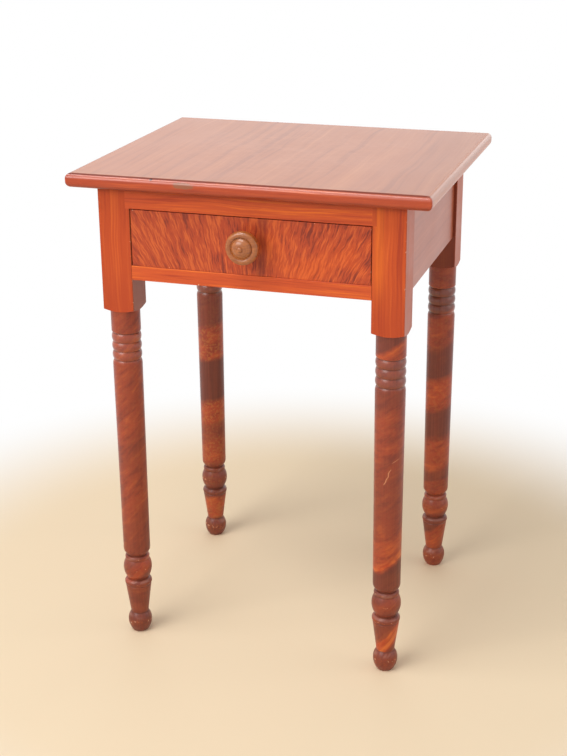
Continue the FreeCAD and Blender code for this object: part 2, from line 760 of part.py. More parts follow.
def make_drawer_sides():
    side = new_body("drawer_side_left", -drawer_half, drawer_y, lower_rail_top)
    thickness = s.drawer_side_thickness
    board = rectangle(s.drawer_front_thickness, ZERO, back_start, side_height)
    add(side, "YZ_Plane", [board], ZERO, thickness)
    front_tails = tails(
        s.drawer_front_thickness, s.drawer_front_lap, ZERO, side_height, FRONT_TAIL_COUNT, ZERO
    )
    add(side, "YZ_Plane", front_tails, ZERO, thickness)
    back_tails = tails(back_start, drawer_length, groove_top, back_high, BACK_TAIL_COUNT, ZERO)
    heel = rectangle(back_start, ZERO, drawer_length, groove_top - s.joint_clearance)
    add(side, "YZ_Plane", back_tails + [heel], ZERO, thickness)
    groove = rectangle(thickness - s.groove_depth, s.groove_raise, thickness, groove_top)
    cut(side, "XZ_Plane", [groove], s.drawer_front_lap, drawer_length - s.drawer_front_lap)
    right_hand_twin(side)


def make_drawer_back():
    back = new_body("drawer_back", ZERO, drawer_y + back_start, lower_rail_top)
    thickness = s.drawer_back_thickness
    board = rectangle(-drawer_half, groove_top, drawer_half, back_high)
    add(back, "XZ_Plane", [board], ZERO, thickness)
    cut_sockets(back, tails(ZERO, thickness, groove_top, back_high, BACK_TAIL_COUNT, s.joint_clearance))
    holes = [square(x, thickness / 2, brad_hole) for x in brad_places]
    bite = s.brad_length - s.panel_thickness + s.tenon_end_gap
    cut(back, "XY_Plane", holes, groove_top, bite)


def make_drawer_bottom():
    """Bottom board, thinned below along its front and side edges to enter the grooves."""
    panel = new_body("drawer_bottom", ZERO, drawer_y, lower_rail_top)
    panel_low = panel_top - s.panel_thickness
    edge_low = panel_top - s.groove_width + s.panel_edge
    panel_front = s.drawer_front_thickness - s.groove_depth + s.panel_gap
    board = rectangle(-panel_half, panel_front, panel_half, drawer_length)
    add(panel, "XY_Plane", [board], panel_low, s.panel_thickness)
    bevels = []
    for sign in (-1, 1):
        edge = panel_half * sign
        inner = (panel_half - s.panel_bevel) * sign
        bevels.append([(edge, panel_low), (inner, panel_low), (edge, edge_low)])
    cut(panel, "XZ_Plane", bevels, panel_front, drawer_length - panel_front)
    bevel_end = panel_front + s.panel_bevel
    front_bevel = [(panel_front, panel_low), (bevel_end, panel_low), (panel_front, edge_low)]
    cut(panel, "YZ_Plane", [front_bevel], -panel_half, panel_half * 2)
    holes = [square(x, brad_run, brad_hole) for x in brad_places]
    cut(panel, "XY_Plane", holes, panel_low, s.panel_thickness)


def make_knob():
    """Turned knob with a round tenon through the drawer front."""
    seat = s.drawer_front_thickness
    level = lower_rail_top + drawer_height / 2 + s.knob_rise
    knob = new_body("drawer_knob", ZERO, drawer_y + seat, level)
    turn(knob, (0, 0, 1), 180)
    groove_edge = s.knob_dome_radius + s.knob_groove_radius
    stations = [
        (s.knob_tenon_radius, ZERO, "line"),
        (s.knob_tenon_radius, seat, "line"),
        (s.knob_seat_radius, seat, "line"),
        (s.knob_seat_radius, seat + s.knob_seat_length / 2, "line"),
        (s.knob_neck_radius, seat + s.knob_seat_length, "swell"),
        (s.knob_neck_radius, seat + s.knob_neck_length, "line"),
        (s.knob_rim_radius, seat + s.knob_rim_length, "swell"),
        (groove_edge + s.knob_face_radius, seat + s.knob_face_length, "swell"),
        (groove_edge, seat + s.knob_groove_length, "line"),
        (s.knob_dome_radius, seat + s.knob_groove_length, "line"),
        (s.knob_dome_radius, seat + s.knob_dome_length, "line"),
        (s.knob_nub_radius, seat + s.knob_reach - s.knob_nub_length, "crown"),
        (s.knob_tip_radius, seat + s.knob_reach, "swell"),
    ]
    revolve(knob, "Revolution", "XY_Plane", draw_turning, stations)


# Fasteners and stops, each kind one group of separate solids

def primitive(kind, name, x, y, z, **sizes):
    """A box, cylinder or cone with its sizes tied to the sheet."""
    item = doc.addObject(f"Part::{kind}", name)
    for prop, length in sizes.items():
        bind(item, prop, length)
    place(item, x, y, z)
    return item


def block(name, low, spans):
    return primitive("Box", name, *low, Length=spans[0], Width=spans[1], Height=spans[2])


def grouped(label, pieces):
    """Puts separate solids into one group, with their twins from the other side."""
    left = doc.addObject("Part::Compound", f"{label}_left")
    left.Links = pieces
    both = doc.addObject("Part::Compound", label)
    both.Label = label
    both.Links = [left, mirrored(left, f"{label}_right")]
    sub_parts.append(both)


Nail = namedtuple("Nail", "width length head_width head_height")
CUT_NAIL = Nail(s.nail_width, s.nail_length, s.nail_head_width, s.nail_head_height)
BRAD = Nail(s.brad_width, s.brad_length, s.brad_head_width, s.brad_head_height)


def make_nail(nail, x, y, z, axis, degrees):
    """Square shank up from the origin and a flat head under it, turned and put in place."""
    shank_low = -(nail.width / 2)
    head_low = -(nail.head_width / 2)
    shank = block("shank", (shank_low, shank_low, ZERO), (nail.width, nail.width, nail.length))
    head = block(
        "head", (head_low, head_low, -nail.head_height),
        (nail.head_width, nail.head_width, nail.head_height),
    )
    whole = doc.addObject("Part::Fuse", "nail")
    whole.Base = shank
    whole.Tool = head
    turn(whole, axis, degrees)
    place(whole, x, y, z)
    return whole


def make_cut_nails():
    """Nails of the runners and kickers point outwards, those of the guides point down."""
    strip_face = s.runner_width - apron_inner
    nails = []
    for level, runs in ((rail_bottom + runner_middle, runner_nail_runs),
                        (upper_rail_bottom + kicker_middle, kicker_nail_runs)):
        for run in runs:
            nails.append(make_nail(CUT_NAIL, strip_face, run_front + run, level, (0, 1, 0), -90))
    guide_x = guide_width / 2 - apron_inner
    guide_top = lower_rail_top + s.guide_height
    for run in guide_nail_runs:
        nails.append(make_nail(CUT_NAIL, guide_x, run_front + run, guide_top, (1, 0, 0), 180))
    grouped("cut_nails", nails)


def make_bottom_brads():
    """Small nails up through the drawer's bottom board into its back."""
    level = lower_rail_top + panel_top - s.panel_thickness
    brads = [make_nail(BRAD, x, drawer_y + brad_run, level, (0, 0, 1), 0) for x in brad_places]
    group = doc.addObject("Part::Compound", "drawer_bottom_nails")
    group.Label = "drawer_bottom_nails"
    group.Links = brads
    sub_parts.append(group)


def make_screw(x, y):
    """Wood screw with a slotted head, pointing up."""
    length = s.screw_grip + s.screw_bite
    shank_length = length - s.screw_point
    shank = primitive("Cylinder", "shank", ZERO, ZERO, ZERO, Radius=s.screw_radius, Height=shank_length)
    tip = primitive(
        "Cone", "tip", ZERO, ZERO, shank_length, Radius1=s.screw_radius,
        Radius2=s.screw_radius * SCREW_POINT_SHARE, Height=s.screw_point,
    )
    head = primitive(
        "Cone", "head", ZERO, ZERO, -s.screw_head_height, Radius1=s.screw_head_radius * SCREW_TOP_SHARE,
        Radius2=s.screw_head_radius, Height=s.screw_head_height,
    )
    solid = doc.addObject("Part::MultiFuse", "screw_blank")
    solid.Shapes = [shank, tip, head]
    slot = block(
        "slot", (-s.screw_head_radius, -(s.screw_slot_width / 2), -s.screw_head_height),
        (s.screw_head_radius * 2, s.screw_slot_width, s.screw_slot_depth),
    )
    screw = doc.addObject("Part::Cut", "screw")
    screw.Base = solid
    screw.Tool = slot
    place(screw, -x, y, upper_rail_bottom + counterbore_depth)
    return screw


def make_stops():
    """Small blocks on the lower rail that the closed drawer front rests against."""
    stop_y = drawer_y + s.drawer_front_thickness
    low = (s.stop_spread - drawer_inner, stop_y, lower_rail_top)
    grouped("drawer_stops", [block("stop", low, (s.stop_length, s.stop_depth, s.stop_height))])


make_top()
make_front_legs()
make_back_legs()
make_side_aprons()
make_back_apron()
make_upper_rail()
make_lower_rail()
make_runners()
make_guides()
make_kickers()
make_stops()
make_drawer_front()
make_drawer_sides()
make_drawer_back()
make_drawer_bottom()
make_knob()
make_cut_nails()
make_bottom_brads()
grouped("top_screws", [make_screw(x, y) for x, y in screw_places])
doc.recompute()

for item in doc.Objects:
    if {"Invalid", "Error"} & set(item.State):
        raise RuntimeError(f"{item.Label} failed: {item.State}")
for item in sub_parts:
    if item.Shape.isNull() or not item.Shape.isValid() or not item.Shape.Solids:
        raise RuntimeError(f"{item.Label} has no valid solid")

os.makedirs("parts", exist_ok=True)
for item in sub_parts:
    item.Shape.exportStep(f"parts/{item.Label}.step")
    print(item.Label, len(item.Shape.Solids), round(item.Shape.Volume))
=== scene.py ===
# %% [markdown]
# # A one-drawer stand with painted graining
#
# The stand is plain softwood that a painter made to look dearer: an orange-red ground, then a brown
# glaze worked with combs and rags while it was wet, then varnish. Its shapes could be modelled again
# here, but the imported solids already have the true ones, down to the grooves of the legs. So they
# stay as they are, and this lesson gives each of them its finish.

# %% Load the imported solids
import math

import bmesh
import bpy
from mathutils import Matrix, Vector


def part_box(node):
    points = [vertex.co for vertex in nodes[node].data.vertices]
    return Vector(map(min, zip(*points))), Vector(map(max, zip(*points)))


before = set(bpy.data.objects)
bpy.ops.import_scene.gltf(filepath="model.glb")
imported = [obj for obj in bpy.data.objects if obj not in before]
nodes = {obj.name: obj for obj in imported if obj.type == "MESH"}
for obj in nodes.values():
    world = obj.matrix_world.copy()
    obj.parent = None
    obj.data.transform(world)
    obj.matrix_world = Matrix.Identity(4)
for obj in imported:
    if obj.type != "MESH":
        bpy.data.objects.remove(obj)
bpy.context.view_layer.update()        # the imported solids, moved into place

# %% [markdown]
# ## A bench for shader nodes
#
# Materials are trees of nodes. They could be drawn in the shader editor, but a script has to say every
# node and link, about four lines for each. A small bench does that instead: each call adds one node,
# plugs its inputs and hands back the output that is wanted next. A number or colour is typed into a
# socket, and another node's output is linked to it.

# %% The bench
class Bench:
    """Lays out shader nodes in one tree; most calls give back an output to plug in further on."""

    def __init__(self, tree):
        self.tree = tree

    def plug(self, socket, value):
        """Links an output to a socket, or types a plain value into it."""
        if isinstance(value, bpy.types.NodeSocket):
            self.tree.links.new(value, socket)
        else:
            socket.default_value = value

    def node(self, kind, sockets=(), **settings):
        """Adds a node, with its settings made and its sockets plugged."""
        made = self.tree.nodes.new(kind)
        for name, value in settings.items():
            setattr(made, name, value)
        for name, value in dict(sockets).items():
            self.plug(made.inputs[name], value)
        return made

    def calc(self, operation, *values):
        """One step of arithmetic."""
        made = self.node("ShaderNodeMath", operation=operation)
        for socket, value in zip(made.inputs, values):
            self.plug(socket, value)
        return made.outputs[0]

    def times(self, first, *others):
        for other in others:
            first = self.calc("MULTIPLY", first, other)
        return first

    def scaled(self, value, factor, added):
        """A value times a factor, with something added."""
        return self.calc("MULTIPLY_ADD", value, factor, added)

    def less(self, value, taken):
        return self.calc("SUBTRACT", value, taken)

    def between(self, first, second, share):
        """Two values mixed; share is how much there is of the second."""
        return self.scaled(second, share, self.times(first, 1 - share))

    def away(self, value, place):
        """How far a value is from a place, either way."""
        return self.calc("ABSOLUTE", self.less(value, place))

    def squares(self, first, second):
        """The squared length of a step with these two sides."""
        return self.scaled(first, first, self.times(second, second))

    def fade(self, value, start, end, most=1.0):
        """0 at start and most at end, eased in between."""
        sockets = {"Value": value, "From Min": start, "From Max": end, "To Max": most}
        return self.node("ShaderNodeMapRange", sockets, interpolation_type="SMOOTHSTEP").outputs[0]

    def blend(self, share, first, second):
        """Two colours mixed; share is how much there is of the second."""
        made = self.node("ShaderNodeMix", data_type="RGBA")
        for number, value in ((0, share), (6, first), (7, second)):
            self.plug(made.inputs[number], value)
        return made.outputs[2]

    def noise(self, vector, scale, detail=2.0, roughness=0.5, distortion=0.0):
        """Soft random values between 0 and 1."""
        sockets = {"Vector": vector, "Scale": scale, "Detail": detail}
        sockets.update({"Roughness": roughness, "Distortion": distortion})
        return self.node("ShaderNodeTexNoise", sockets).outputs[0]

    def sway(self, vector, scale, **settings):
        """Noise that goes either way from nothing."""
        return self.less(self.noise(vector, scale, **settings), 0.5)

    def axes(self, vector):
        """The X, Y and Z of a place."""
        return self.node("ShaderNodeSeparateXYZ", {"Vector": vector}).outputs[:]

    def point(self, x, y, z):
        """A place from its X, Y and Z."""
        return self.node("ShaderNodeCombineXYZ", {"X": x, "Y": y, "Z": z}).outputs[0]

    def placed(self, vector, location=(0, 0, 0), scale=(1, 1, 1)):
        """Moves and stretches the places that a texture reads."""
        sockets = {"Vector": vector, "Location": location, "Scale": scale}
        return self.node("ShaderNodeMapping", sockets).outputs[0]

    def steps(self, value, stops):
        """A grey scale with tones at given places between 0 and 1."""
        made = self.node("ShaderNodeValToRGB", {"Fac": value})
        elements = made.color_ramp.elements
        elements.remove(elements[1])
        elements[0].position = stops[0][0]
        elements[0].color = (stops[0][1],) * 3 + (1,)
        for place, tone in stops[1:]:
            elements.new(place).color = (tone,) * 3 + (1,)
        return made.outputs[0]

    def use(self, group, sockets):
        """Puts a node group to work and gives back all its outputs."""
        made = self.node("ShaderNodeGroup", node_tree=bpy.data.node_groups[group])
        for name, value in sockets.items():
            self.plug(made.inputs[name], value)
        return made.outputs

    def bump(self, height, depth):
        """Tilts the surface as if it had this height."""
        return self.node("ShaderNodeBump", {"Height": height, "Distance": depth}).outputs[0]


print("bench ready")

# %% [markdown]
# A group is a tree that other trees use like one node, and a finish is a material. Both start the same
# way each time, so two helpers do that. Colours could be typed as linear light, which shaders reckon
# in, but a paint chart is easier to compare by eye, so a third helper turns one into the other.

# %% Starting a group or a finish
def new_group(name, inputs, outputs):
    """A node group with named sockets: its bench, what comes in and where results go out."""
    tree = bpy.data.node_groups.new(name, "ShaderNodeTree")
    for way, sockets in (("INPUT", inputs), ("OUTPUT", outputs)):
        for label, kind in sockets.items():
            tree.interface.new_socket(label, in_out=way, socket_type="NodeSocket" + kind)
    bench = Bench(tree)
    return bench, bench.node("NodeGroupInput").outputs, bench.node("NodeGroupOutput").inputs


def new_finish(name):
    """A material: its bench, its shader's inputs and the Object coordinates of the piece."""
    material = bpy.data.materials.new(name)
    material.use_nodes = True
    bench = Bench(material.node_tree)
    shader = material.node_tree.nodes["Principled BSDF"]
    return material, bench, shader.inputs, bench.node("ShaderNodeTexCoord").outputs["Object"]


def tint(red, green, blue):
    """A colour typed as on a paint chart, 0 to 255, turned into the linear light that shaders use."""
    shares = [level / 255 for level in (red, green, blue)]
    linear = [s / 12.92 if s <= 0.04045 else ((s + 0.055) / 1.055) ** 2.4 for s in shares]
    return (*linear, 1)


def dress(material, *names):
    """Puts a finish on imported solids."""
    for name in names:
        nodes[name].material_slots[0].material = material
    print(material.name, "on", ", ".join(names))


print("solids to dress:", len(nodes))

# %% [markdown]
# ## Combed graining
#
# Every painted board carries the same trick: a comb drawn through wet glaze leaves long, slightly
# wavering lines, dark where the glaze stayed and bright where the ground shows. Blender's wave texture
# gives lines too, but evenly spaced ones. Noise that is squeezed across the strokes and stretched along
# them is as irregular as a hand. The group takes a vector whose X runs along the comb, and it serves
# posts, rails, aprons and top, each with its own colours and stroke width.

# %% The combed graining group
bench, given, result = new_group(
    "combed_graining",
    {"Vector": "Vector", "Dark": "Color", "Mid": "Color", "Pale": "Color",
     "Width": "Float", "Length": "Float", "Waver": "Float", "Seed": "Float"},
    {"Color": "Color", "Streak": "Float", "Height": "Float"},
)
along, across, deep = bench.axes(given["Vector"])
drift = bench.times(bench.sway(given["Vector"], scale=9.0, detail=1.0), given["Waver"])
across = bench.scaled(drift, 2.0, across)
stroke = bench.point(
    bench.calc("ADD", bench.calc("DIVIDE", along, given["Length"]), given["Seed"]),
    bench.calc("DIVIDE", across, given["Width"]),
    bench.calc("DIVIDE", deep, given["Width"]),
)
broad = bench.noise(stroke, scale=0.30)
fine = bench.noise(stroke, scale=1.6, detail=3.0, roughness=0.6)
streak = bench.between(broad, fine, share=0.55)
colour = bench.blend(bench.fade(streak, 0.34, 0.50), given["Dark"], given["Mid"])
colour = bench.blend(bench.fade(streak, 0.50, 0.66), colour, given["Pale"])
bench.plug(result["Color"], colour)
bench.plug(result["Streak"], streak)
bench.plug(result["Height"], fine)
print("combed_graining group made")

# %% [markdown]
# ## Old varnish
#
# Varnish that was brushed on long ago is never evenly bright: hands dull it, dust settles in it, and
# the brush leaves faint ridges. One roughness for a whole board would look like plastic. The group
# turns it into a cloudy one and adds a very low relief for the bump.

# %% The varnish group
bench, given, result = new_group(
    "old_varnish",
    {"Vector": "Vector", "Dullness": "Float", "Clouds": "Float"},
    {"Roughness": "Float", "Height": "Float"},
)
cloud = bench.sway(given["Vector"], scale=11.0, detail=3.0)
smear = bench.sway(given["Vector"], scale=70.0)
rough = bench.scaled(smear, 0.45, cloud)
rough = bench.scaled(rough, given["Clouds"], given["Dullness"])
bench.plug(result["Roughness"], rough)
bench.plug(result["Height"], bench.noise(given["Vector"], scale=260.0))
print("old_varnish group made")

# %% [markdown]
# ## Worn edges and chips
#
# Paint goes first where things are knocked. Blender can find edges with its Pointiness or Bevel nodes,
# but these depend on the mesh or on the renderer. The boards here are boxes, so their own measures do:
# a point is near an edge when two of its three distances to the board's faces are small, and the middle
# one of the three says how far the edge is.

# %% The edge group
bench, given, result = new_group(
    "board_edge",
    {"Vector": "Vector", "Low": "Vector", "High": "Vector", "Reach": "Float"},
    {"Edge": "Float"},
)
rooms = []
for here, low, high in zip(*(bench.axes(given[name]) for name in ("Vector", "Low", "High"))):
    above_low = bench.less(here, low)
    below_high = bench.less(high, here)
    rooms.append(bench.calc("MINIMUM", above_low, below_high))
smaller = bench.calc("MINIMUM", rooms[0], rooms[1])
larger = bench.calc("MAXIMUM", rooms[0], rooms[1])
middle = bench.calc("MAXIMUM", smaller, bench.calc("MINIMUM", larger, rooms[2]))
bench.plug(result["Edge"], bench.fade(middle, given["Reach"], 0.0))
print("board_edge group made")

# %% [markdown]
# Old paint comes off in small ragged flakes, most of them along edges, with a rubbed border round each.
# Flakes drawn one by one would show as copies. Noise that has to pass a limit makes them instead, and
# the limit sinks towards an edge, so there are more of them there and they are larger.

# %% The chips group
FLAKE_LIMIT, EDGE_LOWERS_IT = 0.80, 0.42
bench, given, result = new_group(
    "paint_chips",
    {"Vector": "Vector", "Edge": "Float", "Amount": "Float"},
    {"Chip": "Float", "Rub": "Float"},
)
flake = bench.noise(given["Vector"], scale=190.0, detail=3.0, roughness=0.6)
spread = bench.noise(given["Vector"], scale=23.0)
need = bench.times(given["Edge"], given["Amount"], spread)
limit = bench.less(FLAKE_LIMIT, bench.times(need, EDGE_LOWERS_IT))
over = bench.less(flake, limit)
bench.plug(result["Chip"], bench.fade(over, 0.0, 0.03))
bench.plug(result["Rub"], bench.fade(over, -0.16, 0.02))
print("paint_chips group made")

# %% [markdown]
# ## Bare boards
#
# Inside and underneath the maker left the wood bare, and it darkened to a dusty tan. Grain is again
# noise that is long one way. Folding it back and forth gives the nested lines of year rings, which
# plain noise lacks, and fine pores go on top, with no varnish over them.

# %% The bare wood group
bench, given, result = new_group(
    "bare_board",
    {"Vector": "Vector", "Dark": "Color", "Pale": "Color", "Seed": "Float"},
    {"Color": "Color", "Roughness": "Float", "Height": "Float"},
)
moved = bench.node("ShaderNodeVectorMath", operation="ADD")
bench.plug(moved.inputs[0], given["Vector"])
bench.plug(moved.inputs[1], given["Seed"])
board = moved.outputs[0]
long_way = bench.placed(board, scale=(3.0, 34.0, 34.0))
figure = bench.noise(long_way, scale=1.0, detail=3.0, roughness=0.55, distortion=0.6)
pores = bench.noise(bench.placed(board, scale=(30.0, 900.0, 900.0)), scale=1.0, roughness=0.6)
stain = bench.noise(board, scale=8.0, detail=3.0)
rings = bench.calc("PINGPONG", bench.times(figure, 6.0), 1.0)
tone = bench.between(rings, pores, share=0.35)
colour = bench.blend(bench.fade(tone, 0.15, 0.85), given["Dark"], given["Pale"])
colour = bench.blend(bench.fade(stain, 0.62, 0.30), colour, given["Dark"])
bench.plug(result["Color"], colour)
bench.plug(result["Roughness"], bench.scaled(pores, 0.18, 0.66))
bench.plug(result["Height"], pores)
print("bare_board group made")

# %% [markdown]
# ## Painted fronts
#
# The posts are combed up and down, the rails from side to side, and the aprons too, all in a red-brown
# glaze over an orange ground. Where paint is chipped, pale wood shows. Each colour could be typed where
# it is used, but with a palette the pieces keep in tune when one tint is changed.

# %% The palette
GLAZE = tint(172, 62, 30)
GROUND = tint(199, 81, 34)
BRIGHT = tint(232, 114, 40)
POST_PALE = tint(224, 106, 44)
RAIL_GLAZE = tint(180, 66, 34)
RAIL_GROUND = tint(207, 86, 40)
APRON_GLAZE = tint(172, 88, 60)
APRON_GROUND = tint(182, 96, 65)
APRON_BRIGHT = tint(190, 104, 71)
# umber painted paler, as painted light, for inner faces that look sideways
UMBER = tint(100, 54, 40)
# painted shade for the strip under the top's overhang
UMBER_PAINTED_LIGHTER = tint(142, 86, 58)
UNDER_TOP_SHADE = tint(110, 42, 22)
RAW_WOOD = tint(224, 186, 158)
OLD_DARK = tint(118, 78, 46)
OLD_PALE = tint(178, 132, 84)
print("palette mixed")

# %% [markdown]
# Chips and varnish come last on every painted piece. Each material could plug them in by itself, but
# one function does it for all, so the pieces can't drift apart and differ only in what they hand to it.
# The varnish is thin and worn, so its shine is set lower than that of fresh lacquer.

# %% The finishing coat
RELIEF_DEPTH = 0.00012
RUBBED_SHARE, BRUSH_MARKS = 0.2, 0.25
CHIP_ROUGHENS, CHIP_SINKS = 0.25, 1.5


def varnished(bench, shader, here, paint, relief, dullness, edge, chips, clouds=0.22, specular=0.32):
    """Chips the paint, lays the varnish over it and plugs everything into the shader."""
    wear = bench.use("paint_chips", {"Vector": here, "Edge": edge, "Amount": chips})
    paint = bench.blend(bench.times(wear["Rub"], RUBBED_SHARE), paint, BRIGHT)
    paint = bench.blend(wear["Chip"], paint, RAW_WOOD)
    coat = bench.use("old_varnish", {"Vector": here, "Dullness": dullness, "Clouds": clouds})
    rough = bench.scaled(wear["Chip"], CHIP_ROUGHENS, coat["Roughness"])
    height = bench.scaled(coat["Height"], BRUSH_MARKS, relief)
    height = bench.less(height, bench.times(wear["Chip"], CHIP_SINKS))
    bench.plug(shader["Base Color"], paint)
    bench.plug(shader["Roughness"], rough)
    bench.plug(shader["Normal"], bench.bump(height, RELIEF_DEPTH))
    shader["Specular IOR Level"].default_value = specular


def near_edge(bench, here, low, high, reach):
    """1 on the edges of a board between two corners, 0 from reach inwards."""
    return bench.use("board_edge", {"Vector": here, "Low": low, "High": high, "Reach": reach})["Edge"]


def old_wood(bench, lengthwise, seed):
    """Bare wood where the paint stops."""
    return bench.use("bare_board", {
        "Vector": lengthwise, "Dark": OLD_DARK, "Pale": OLD_PALE, "Seed": seed,
    })["Color"]


print("finishing coat ready, relief in millimetres:", RELIEF_DEPTH * 1000)

# %% [markdown]
# Posts and rails meet at the front, and some lines were combed right across the joint. If each piece
# had its own combing, no line could cross, so two functions hold it and any piece can ask for either.
# A third one paints shade on the strip under the top's overhang, where its shadow falls.

# %% Combing of the posts and rails, and the painted shade under the top
FRAME_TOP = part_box("leg_front_right")[1].z


def post_colours(bench, here, seed):
    """Up-and-down combing, the same field for a post and for what is let into it."""
    x, y, z = bench.axes(here)
    return bench.use("combed_graining", {
        "Vector": bench.point(z, x, y), "Dark": GLAZE, "Mid": GROUND, "Pale": POST_PALE,
        "Width": 0.0048, "Length": 0.22, "Waver": 0.004, "Seed": seed,
    })


def rail_colours(bench, here, seed):
    """Side-to-side combing."""
    x, y, z = bench.axes(here)
    return bench.use("combed_graining", {
        "Vector": bench.point(x, z, y), "Dark": RAIL_GLAZE, "Mid": RAIL_GROUND, "Pale": BRIGHT,
        "Width": 0.0040, "Length": 0.13, "Waver": 0.003, "Seed": seed,
    })


def painted_shade_under_top(bench, z):
    """Painted shade on the strip under the overhanging top, where its shadow falls."""
    return bench.fade(z, FRAME_TOP - 0.010, FRAME_TOP - 0.001, most=0.5)


print("frame reaches up to", round(FRAME_TOP, 3))

# %% [markdown]
# ## The legs
#
# Above, each leg is a square post. Below, it is turned, and there the painter dabbed broad slanting
# bands of dark umber and orange round it, differently on each leg. Noise alone would put bands anywhere.
# So the heights of the bands are set leg by leg, as tones on a grey scale from the floor to the post,
# and noise only makes them ragged. A slanted height makes the bands climb to the right. Scratches,
# specks of ochre and broad bright strokes are set for each leg too.

# %% Each leg's bands: height in millimetres, and tone from 0 dark to 1 orange
LEGS = {
    "leg_front_right": {
        "seed": 3.0, "foot_lean": 1.2, "shaft_lean": 0.58, "specks": 0.15, "bright_stroke": -0.013,
        "scratches": [((-0.0082, 0.302), (0.0014, 0.328)), ((0.001, 0.335), (0.014, 0.343))],
        "bands": [
            (-60, .35), (0, .3), (30, .3), (35, 1), (59, 1), (65, .4), (80, .3), (90, .2), (100, .5),
            (118, .5), (126, .2), (170, .12), (176, 1), (190, .85), (216, .75), (228, .55), (270, .42),
            (308, .4), (328, .55), (342, .45), (352, .75), (360, .65), (406, .65), (424, .35), (500, .35),
            (512, .86), (530, .88), (541, .92), (546, .15)]},
    "leg_front_left": {
        # the left front post gets a darker glaze as painted shade, since the lamp on the left lights it
        # more
        "seed": 11.0, "foot_lean": 0.1, "shaft_lean": 0.9, "specks": 0.15, "darkening_wash": 0.3,
        "bands": [
            (-60, .15), (0, .2), (76, .35), (90, .25), (98, .8), (114, .84), (122, .3), (152, .4),
            (190, .4), (215, .65), (272, .6), (296, .45), (320, .5), (338, .75), (356, .65), (430, .6),
            (560, .6)]},
    "leg_back_left": {
        "seed": 23.0, "foot_lean": 0.22, "shaft_lean": 0.22, "specks": 0.6,
        "bands": [
            (-60, .2), (30, .25), (40, .85), (74, .9), (79, .2), (92, .1), (104, .3), (125, .25),
            (134, .3), (146, .75), (178, .7), (188, .4), (212, .4), (218, .85), (252, .8), (260, .05),
            (324, .05), (332, .85), (382, .75), (392, .2), (456, .2), (480, .35), (560, .3)]},
    "leg_back_right": {
        "seed": 37.0, "foot_lean": 0.8, "shaft_lean": 0.3, "specks": 0.25,
        "bands": [
            (-60, .45), (30, .45), (44, .75), (70, .7), (76, .15), (90, .15), (104, .55), (120, .5),
            (136, .55), (156, .65), (161, .2), (173, .2), (182, .7), (228, .75), (243, .1), (279, .1),
            (288, .85), (331, .86), (341, .1), (383, .15), (400, .65), (443, .7), (450, .15), (500, .15),
            (512, .6), (560, .55)]},
}
print("bands on each leg:", [len(leg["bands"]) for leg in LEGS.values()])

# %% [markdown]
# The turned grooves are darkened, what faces up gets a pale film of dust and painted sheen, and chips
# go on what stands out. All three keep to fixed heights of the turning, so a list of heights, each with
# its own reach, is enough. The three rings are evenly spaced, and folding the height back and forth finds
# their grooves at once.

# %% Heights of the turning, in metres: (height, reach)
POST_FOOT = 0.520
RING_LOW, RING_PITCH, RING_TOP = 0.4447, 0.0136, 0.4855
LIP_LOW, LIP_HIGH = 0.080, 0.090
FOOT_BALL_TOP = 0.032
GROOVES = [(0.1308, 0.0020), (0.1224, 0.0009), (0.0908, 0.0022), (0.0797, 0.0009), (0.032, 0.0022)]
CRESTS = [(0.1088, 0.006), (0.0838, 0.003), (0.126, 0.002), (0.0184, 0.010)]
# heights of faces that look up, where a pale film of dust and painted sheen lies
FACING_UP = [(0.1262, 0.0040), (0.0880, 0.0030), (0.0275, 0.0050)]


def near_heights(bench, z, lines):
    """1 at each of the given heights, fading out over its own reach."""
    found = 0.0
    for height, reach in lines:
        found = bench.calc("MAXIMUM", found, bench.fade(bench.away(z, height), reach, 0.0))
    return found


def ringed(bench, z):
    """1 on the length with the three rings."""
    from_middle = bench.away(z, (RING_LOW + RING_TOP) / 2)
    return bench.fade(from_middle, RING_PITCH * 1.7, RING_PITCH * 1.6)


def groove_darkness(bench, z):
    """Thin dark lines in the grooves of the rings and in the others."""
    folded = bench.calc("PINGPONG", bench.less(z, RING_LOW), RING_PITCH / 2)
    rings = bench.times(bench.fade(folded, 0.0016, 0.0002), ringed(bench, z))
    return bench.calc("MAXIMUM", rings, near_heights(bench, z, GROOVES))


print("grooves:", len(GROOVES), "and those of the rings")

# %% [markdown]
# The slanted height is the height less a share of the way to the right. The foot has its own lean.
# Bands must not run on over the deep grooves, so the foot's ball and the neck above the rings read
# other parts of the scale, below and above all the rest.

# %% Where a point is on the scale of bands
RIGHTWARDS = (0.952, 0.305)
BAND_LOW, BAND_SPAN = -0.070, 0.650
BALL_SHIFT, NECK_SHIFT, GROOVE_HALF = -0.050, 0.040, 0.0005
RAGGEDNESS = 0.014


def to_right(bench, x, y):
    """Distance from the leg's axis, to the right of someone who faces the stand from its corner."""
    return bench.scaled(x, RIGHTWARDS[0], bench.times(y, RIGHTWARDS[1]))


def slanted_height(bench, local, leg):
    x, y, z = bench.axes(local)
    on_shaft = bench.fade(z, LIP_LOW, LIP_HIGH)
    lean = bench.scaled(on_shaft, leg["shaft_lean"] - leg["foot_lean"], leg["foot_lean"])
    slanted = bench.less(z, bench.times(to_right(bench, x, y), lean))
    on_ball = bench.fade(z, FOOT_BALL_TOP + GROOVE_HALF, FOOT_BALL_TOP - GROOVE_HALF)
    on_neck = bench.fade(z, RING_TOP - GROOVE_HALF, RING_TOP + GROOVE_HALF)
    slanted = bench.scaled(on_ball, BALL_SHIFT, slanted)
    return bench.scaled(on_neck, NECK_SHIFT, slanted)


def band_tone(bench, slanted, shifted, bands):
    """The painter's tone at a slanted height, with a ragged border between bands."""
    ragged = bench.sway(shifted, scale=34.0, detail=3.0, roughness=0.6)
    level = bench.scaled(ragged, RAGGEDNESS, slanted)
    stops = [((height / 1000 - BAND_LOW) / BAND_SPAN, tone) for height, tone in bands]
    return bench.steps(bench.scaled(level, 1 / BAND_SPAN, -BAND_LOW / BAND_SPAN), stops)


print("scale of bands in metres:", BAND_LOW, "to", round(BAND_LOW + BAND_SPAN, 3))

